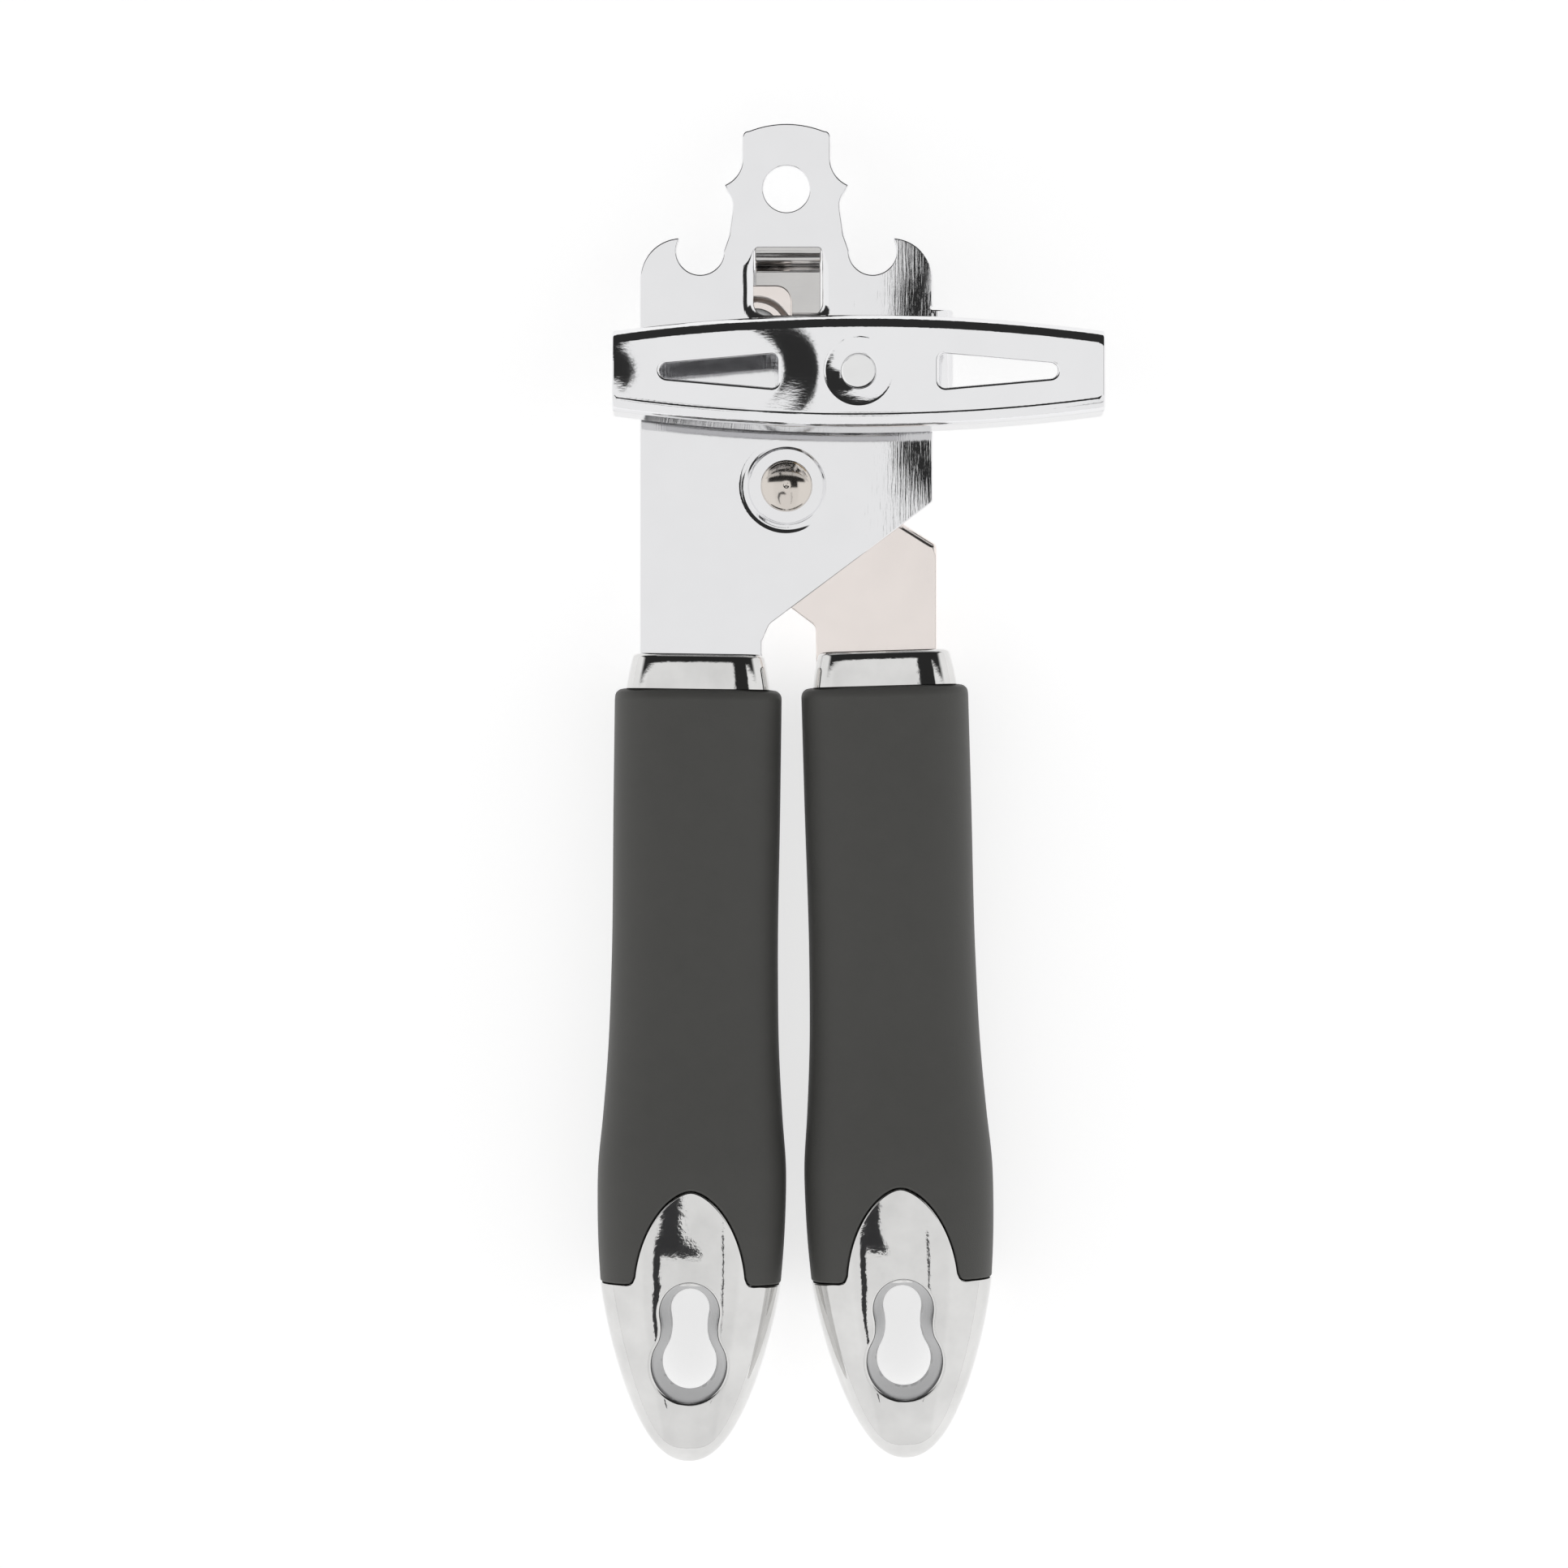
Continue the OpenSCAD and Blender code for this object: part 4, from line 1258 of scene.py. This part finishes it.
def rivetPiece():
    z, r = layers, rivet
    top, back = z["bossTop"] + 0.25, z["rearZ"]
    dome = [(r["head"] * math.cos(a), top + r["dome"] * math.sin(a))
            for a in np.linspace(0, math.radians(82), 16)]
    dome += [(r["dimple"], top + r["dome"] - 0.02), (r["dimple"] * 0.6, top + r["dome"] - 0.1),
             (0, top + r["dome"] - 0.12)]
    profile = [(0, back - 2.1), (3.3, back - 2.1), (3.75, back - 1.9), (4.0, back - 1.55),
               (4.0, back - 0.85), (3.9, back - 0.75), (r["shank"], back - 0.75), (r["shank"], z["bossTop"]),
               (r["head"] - 0.2, z["bossTop"]), (r["head"], z["bossTop"] + 0.12)] + dome
    return turnedPiece("pivotRivet", profile, (0, 0), "front_lever", "pivot_rivet",
                       "warmNickel", 50)


rivetPiece()
turnedPiece("pivotRearWasher", ringProfile(5.4, 2.67, -2.47, -1.85), (0, 0), "front_lever",
            "pivot_rear_washer", "plainSteel")


def shaftPiece():
    foot, step, under = layers["wheelLow"] - 3, layers["wheelTop"] + 0.1, layers["keyUnder"]
    seat = under - 0.9
    profile = [(0, foot), (1.9, foot), (2.4, layers["wheelLow"] - 2.5), (2.4, step), (3.4, step),
               (3.4, 3.3), (4.2, 3.3), (4.4, 3.5), (4.4, seat - 0.3), (4.1, seat), (2.6, seat),
               (2.6, under - 0.1), (2.35, under + 0.1), (0, under + 0.12)]
    return turnedPiece("keyShaft", profile, keyAt, "key_drive", "key_shaft", "turnedSteel")


shaftPiece()
turnedPiece("shaftBushing", softened([(3.47, -0.6), (5.1, -0.6), (5.1, 1.6), (6.4, 1.6), (6.4, 3.1),
                                      (3.47, 3.1)], 0.25),
            keyAt, "front_lever", "shaft_bushing", "bronzeBush")
turnedPiece("thrustWasher", ringProfile(5.6, 3.47, -1.3, -0.7), keyAt, "key_drive",
            "thrust_washer", "plainSteel")
turnedPiece("cutterSpacer", ringProfile(4.4, 3.0, -5.05, -2.85), cutterAt, "rear_lever",
            "cutter_spacer", "plainSteel")
turnedPiece("cutterNut", ringProfile(3.7, 2.4, -1.25, -0.55, 0.16), cutterAt, "rear_lever",
            "cutter_nut", "plainSteel")


def cutterPiece():
    low, top, radius, bore = layers["cutterLow"], layers["cutterTop"], 10.0, 3.07
    profile = [(bore, low), (7.7, low), (7.85, low + 0.03), (radius - 0.03, top - 0.36),
               (radius, top - 0.3), (radius - 0.03, top - 0.24), (radius - 0.42, top), (bore, top)]
    return turnedPiece("cutterWheel", profile, cutterAt, "cutter", "cutter_wheel",
                       "cuttingSteel", 20)


cutterPiece()


def boxMesh(low, high):
    mesh = bpy.data.meshes.new("cutterBar")
    work = bmesh.new()
    made = bmesh.ops.create_cube(work, size=1)
    for vert in made["verts"]:
        share = [c + 0.5 for c in vert.co]
        vert.co = pivot + Vector([low[i] + (high[i] - low[i]) * share[i] for i in range(3)]) * mm
    work.to_mesh(mesh)
    work.free()
    return addObject("cutterBar", mesh)


def screwPiece():
    low, top = -8.5, -6.8
    profile = [(0, low), (3.7, low), (4.15, low + 0.1), (4.5, low + 0.42), (4.6, low + 0.8),
               (4.6, top - 0.15), (4.5, top), (3, top), (3, layers["seat"]), (2.4, layers["seat"]),
               (2.4, -0.6), (0, -0.6)]
    piece = turnedPiece("cutterScrew", profile, cutterAt, "rear_lever", "cutter_screw",
                        "plainSteel")
    blade = boxMesh((cutterAt.x - 6, cutterAt.y - 0.6, low - 1),
                    (cutterAt.x + 6, cutterAt.y + 0.6, low + 0.8))
    cut = piece.modifiers.new("slot", "BOOLEAN")
    cut.operation = "DIFFERENCE"
    cut.solver = "EXACT"
    cut.object = blade
    flatten(piece)
    bpy.data.objects.remove(blade)
    return piece


def flatten(piece):
    # the modified shape becomes a plain mesh
    bpy.context.view_layer.update()
    graph = bpy.context.evaluated_depsgraph_get()
    mesh = bpy.data.meshes.new_from_object(piece.evaluated_get(graph))
    piece.modifiers.clear()
    piece.data = mesh
    mesh.set_sharp_from_angle(angle=math.radians(32))


def hexNut():
    # a six-sided nut whose corners are chamfered at both ends
    sixth, steps = math.radians(60), 120
    across, low, high = 4.5 * math.cos(sixth / 2), -7.0, -4.6
    turns = np.linspace(0, 2 * math.pi, steps, endpoint=False)
    reach = across / np.cos((turns + sixth / 2) % sixth - sixth / 2)
    shape = Shape()

    def ring(r, z):
        x, y = keyAt.x + r * np.cos(turns), keyAt.y + r * np.sin(turns)
        return shape.addPoints(np.stack([x, y, np.broadcast_to(z, x.shape)], axis=1), np.zeros((steps, 3)))

    fall = np.maximum(reach - across, 0) * 0.55 + 0.04
    inner = np.full(steps, 2.4)
    land = np.full(steps, across * 0.98)
    rows = [ring(inner, low + 0.15), ring(inner + 0.15, low), ring(land, low), ring(reach, low + fall),
            ring(reach, high - fall), ring(land, high), ring(inner, high)]
    for a, b in zip(rows, rows[1:] + rows[:1]):
        shape.addStrip(a, b, steps)
    return makePiece("driveNut", shape, "key_drive", ["drive_nut"], materials["plainSteel"],
                     False, 25)


screwPiece()
hexNut()


# A geometry tree with named inputs, for what repeats round an axis or waves round a ring
class Graph(Tree):
    def __init__(self, name, inputs):
        group = bpy.data.node_groups.new(name, "GeometryNodeTree")
        super().__init__(group)
        group.interface.new_socket("Geometry", in_out="INPUT", socket_type="NodeSocketGeometry")
        group.interface.new_socket("Geometry", in_out="OUTPUT", socket_type="NodeSocketGeometry")
        self.keys = {}
        for label, kind in inputs.items():
            item = group.interface.new_socket(label, in_out="INPUT", socket_type=kind)
            self.keys[label] = item.identifier
        self.start = group.nodes.new("NodeGroupInput")
        self.end = group.nodes.new("NodeGroupOutput")

    def given(self, label):
        return Wire(self, self.start.outputs[label])

    def finish(self, geometry, material):
        real = self.add("GeometryNodeRealizeInstances", None, {"Geometry": geometry})
        done = self.add("GeometryNodeSetMaterial", None, {"Geometry": real, "Material": material})
        self.feed(self.end.inputs["Geometry"], done)

    def applyTo(self, piece, values):
        added = piece.modifiers.new(self.nodeTree.name, "NODES")
        added.node_group = self.nodeTree
        for label, value in values.items():
            added[self.keys[label]] = value
        flatten(piece)


feed = dict(teeth=24, tip=7.2, root=6.45, bore=2.4, low=-4.6, high=-1.4, chamfer=0.3)


def feedSector():
    # one tooth and its share of the hub, open on the two cut sides
    f = feed
    pitch = 2 * math.pi / f["teeth"]
    root, tip = f["root"], f["tip"]
    outline = [(0.0, root), (0.06, root + 0.03), (0.2, tip - 0.06), (0.25, tip), (0.47, tip),
               (0.52, tip - 0.06), (0.68, root + 0.03), (0.74, root), (1.0, root)]
    shape = Shape()

    def row(values, z):
        points = [(keyAt.x + r * math.cos(s * pitch), keyAt.y + r * math.sin(s * pitch), z)
                  for (s, _), r in zip(outline, values)]
        return shape.addPoints(np.array(points), np.zeros((len(outline), 3)))

    low, high, rise = f["low"], f["high"], f["chamfer"] * 0.8
    full = [r for _, r in outline]
    less = [r - f["chamfer"] for r in full]
    bore = [f["bore"]] * len(outline)
    land = [root - 0.9] * len(outline)
    rows = [row(bore, low), row(land, low), row(less, low), row(full, low + rise),
            row(full, high - rise), row(less, high), row(land, high), row(bore, high)]
    for a, b in zip(rows, rows[1:] + rows[:1]):
        shape.addStrip(a, b, len(outline), False)
    return shape


def plainObject(name, shape):
    mesh = bpy.data.meshes.new(name)
    mesh.from_pydata([inMetres(p) for p in shape.points], [], shape.faces)
    return addObject(name, mesh)


def declare(piece, body, node):
    work = bmesh.new()
    work.from_mesh(piece.data)
    bmesh.ops.remove_doubles(work, verts=work.verts, dist=2e-7)
    bmesh.ops.recalc_face_normals(work, faces=work.faces)
    for face in work.faces:
        face.smooth = True
    work.to_mesh(piece.data)
    work.free()
    piece.data.set_sharp_from_angle(angle=math.radians(32))
    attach(piece, body)
    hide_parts(node)
    return piece


def feedWheel():
    piece = plainObject("feedWheel", feedSector())
    g = Graph("teethRound", {"Teeth": "NodeSocketInt", "Centre": "NodeSocketVector"})
    back = g.add("ShaderNodeVectorMath", {"operation": "SCALE"}, {0: g.given("Centre"), "Scale": -1.0})
    home = g.add("GeometryNodeTransform", None, {"Geometry": g.given("Geometry"), "Translation": back})
    spots = g.add("GeometryNodePoints", None, {"Count": g.given("Teeth")})
    index = g.add("GeometryNodeInputIndex")
    step = g.maths("DIVIDE", 2 * math.pi, g.given("Teeth"))
    turn = g.add("ShaderNodeCombineXYZ", None, {"Z": index * step})
    placed = g.add("GeometryNodeInstanceOnPoints", None, {
        "Points": spots, "Instance": home, "Rotation": turn})
    away = g.add("GeometryNodeTransform", None, {"Geometry": placed, "Translation": g.given("Centre")})
    g.finish(away, materials["hardSteel"])
    g.applyTo(piece, {"Teeth": feed["teeth"], "Centre": inMetres((*keyAt[:2], 0))})
    return declare(piece, "key_drive", "feed_wheel")


def waveWasher(name, spec, centre, body, node):
    mid = (spec["low"] + spec["high"]) / 2
    half = spec["sheet"] / 2
    ring = lathe(ringProfile(spec["outer"], spec["inner"], mid - half, mid + half, 0.05), centre, 120)
    piece = plainObject(name, ring)
    g = Graph("wavesRound", {"Waves": "NodeSocketFloat", "Height": "NodeSocketFloat",
                             "Centre": "NodeSocketVector"})
    place = g.add("GeometryNodeInputPosition")
    local = g.add("ShaderNodeVectorMath", {"operation": "SUBTRACT"}, {0: place, 1: g.given("Centre")})
    turn = g.maths("ARCTAN2", g.axis(local, 1), g.axis(local, 0))
    wave = g.add("ShaderNodeMath", {"operation": "SINE"}, {0: turn * g.given("Waves")})
    lift = g.add("ShaderNodeCombineXYZ", None, {"Z": wave * g.given("Height")})
    moved = g.add("GeometryNodeSetPosition", None, {"Geometry": g.given("Geometry"), "Offset": lift})
    g.finish(moved, materials["springSteel"])
    height = (spec["high"] - spec["low"] - spec["sheet"]) / 2 * mm
    g.applyTo(piece, {"Waves": 3.0, "Height": height, "Centre": inMetres((*centre[:2], 0))})
    return declare(piece, body, node)


feedWheel()
waveWasher("pivotWaveWasher", dict(outer=4.8, inner=2.67, low=0.1, high=0.55, sheet=0.25), (0, 0),
           "front_lever", "pivot_wave_washer")
waveWasher("cutterWaveWasher", dict(outer=4.4, inner=3.0, low=-6.8, high=-6.35, sheet=0.25), cutterAt,
           "rear_lever", "cutter_wave_washer")

for nodeName, node in frame["nodes"].items():
    if "_core_" in nodeName:
        node.data.materials.clear()
        node.data.materials.append(materials["coreNylon"])
print("small parts made")


# Floor, studio light and camera
studio = dict(span=3.0, floorGlow=0.69, floorPaper=0.56, overhead=0.915, sides=0.06, below=0.75,
              panelShare=0.97, rigHeight=0.94)


def placeFloor():
    low = min(corner[2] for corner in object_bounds())
    mesh = bpy.data.meshes.new("paperFloor")
    s = studio["span"]
    mesh.from_pydata([(-s, -s, low), (s, -s, low), (s, s, low), (-s, s, low)], [], [(0, 1, 2, 3)])
    floor = addObject("paperFloor", mesh)
    material, tree = newMaterial("whitePaper")
    grey = studio["floorPaper"]
    finishMaterial(tree, {
        "Base Color": (grey, grey, grey, 1), "Roughness": 0.9, "Specular IOR Level": 0.0,
        "Emission Color": (1, 1, 1, 1), "Emission Strength": studio["floorGlow"]})
    mesh.materials.append(material)
    floor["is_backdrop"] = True
    return floor


def placeRig():
    # the dark underside of the camera and its arm, in metres from the pivot, seen in the bright metal
    body = [(-0.13, -0.15), (-0.07, -0.15), (0.0, -0.245), (-0.19, -0.245), (-0.28, -0.45),
            (-0.33, -1.0), (-0.36, -1.0), (-0.34, -0.4), (-0.26, -0.21)]
    arm = [(0.150, -0.19), (0.166, -0.19), (0.21, -0.4), (0.24, -0.9), (0.225, -0.9), (0.19, -0.4)]
    corners = [tuple(pivot + Vector((x, y, studio["rigHeight"]))) for x, y in body + arm]
    mesh = bpy.data.meshes.new("cameraRig")
    faces = [tuple(range(len(body))), tuple(range(len(body), len(corners)))]
    mesh.from_pydata(corners, [], faces)
    rig = addObject("cameraRig", mesh)
    material, tree = newMaterial("rigBlack")
    finishMaterial(tree, {"Base Color": (0.01, 0.01, 0.012, 1), "Roughness": 0.6})
    mesh.materials.append(material)
    rig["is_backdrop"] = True
    return rig


def studioWorld():
    world = bpy.data.worlds.new("softTent")
    bpy.context.scene.world = world
    world.use_nodes = True
    world.node_tree.nodes.clear()
    tree = Tree(world.node_tree)
    incoming = tree.add("ShaderNodeNewGeometry", out="Incoming")
    x, y, z = (tree.axis(incoming, i) * -1.0 for i in range(3))
    sideways = tree.maths("ABSOLUTE", x, 0.0)
    # dark panels stand beyond the head and to the right
    above = tree.fade(z, -0.02, 0.04)
    across = 1.0 - tree.fade(sideways, 0.62, 0.80)
    head = tree.fade(y, 0.15, 0.19) * across
    right = tree.fade(x, 0.085, 0.11) * (1.0 - tree.fade(x, 0.36, 0.40)) * tree.fade(y, -0.045, -0.005)
    dark = tree.maths("MAXIMUM", head, right) * studio["panelShare"]
    bright = tree.fade(sideways, 0.38, 0.50) * studio["sides"] + studio["overhead"]
    strength = above * bright * (1.0 - dark) + (1.0 - above) * studio["below"]
    back = tree.add("ShaderNodeBackground", None, {"Color": (1, 1, 1, 1), "Strength": strength})
    tree.add("ShaderNodeOutputWorld", None, {"Surface": back})


# The camera looks straight down: where its axis meets the plate, its height and what it spans
view = dict(centre=(-0.37, -45.57), height=900.0, span=239.9, sensor=36)


def placeCamera():
    data = bpy.data.cameras.new("overheadCamera")
    data.sensor_width = view["sensor"]
    data.lens = view["sensor"] * view["height"] / view["span"]
    data.clip_end = 20
    camera = addObject("overheadCamera", data)
    camera.location = pivot + Vector((*view["centre"], plate["thick"] + view["height"])) * mm
    bpy.context.scene.camera = camera


placeFloor()
placeRig()
studioWorld()
placeCamera()
look = bpy.context.scene.view_settings
look.view_transform = "Standard"
look.look = "None"
look.exposure = 0
look.gamma = 1

bpy.context.view_layer.update()
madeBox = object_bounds()
for label, made, cad in zip(("low", "high"), madeBox, cadBox):
    print(label, "corner past the shared box, mm:", [round((a - b) / mm, 2) for a, b in zip(made, cad)])
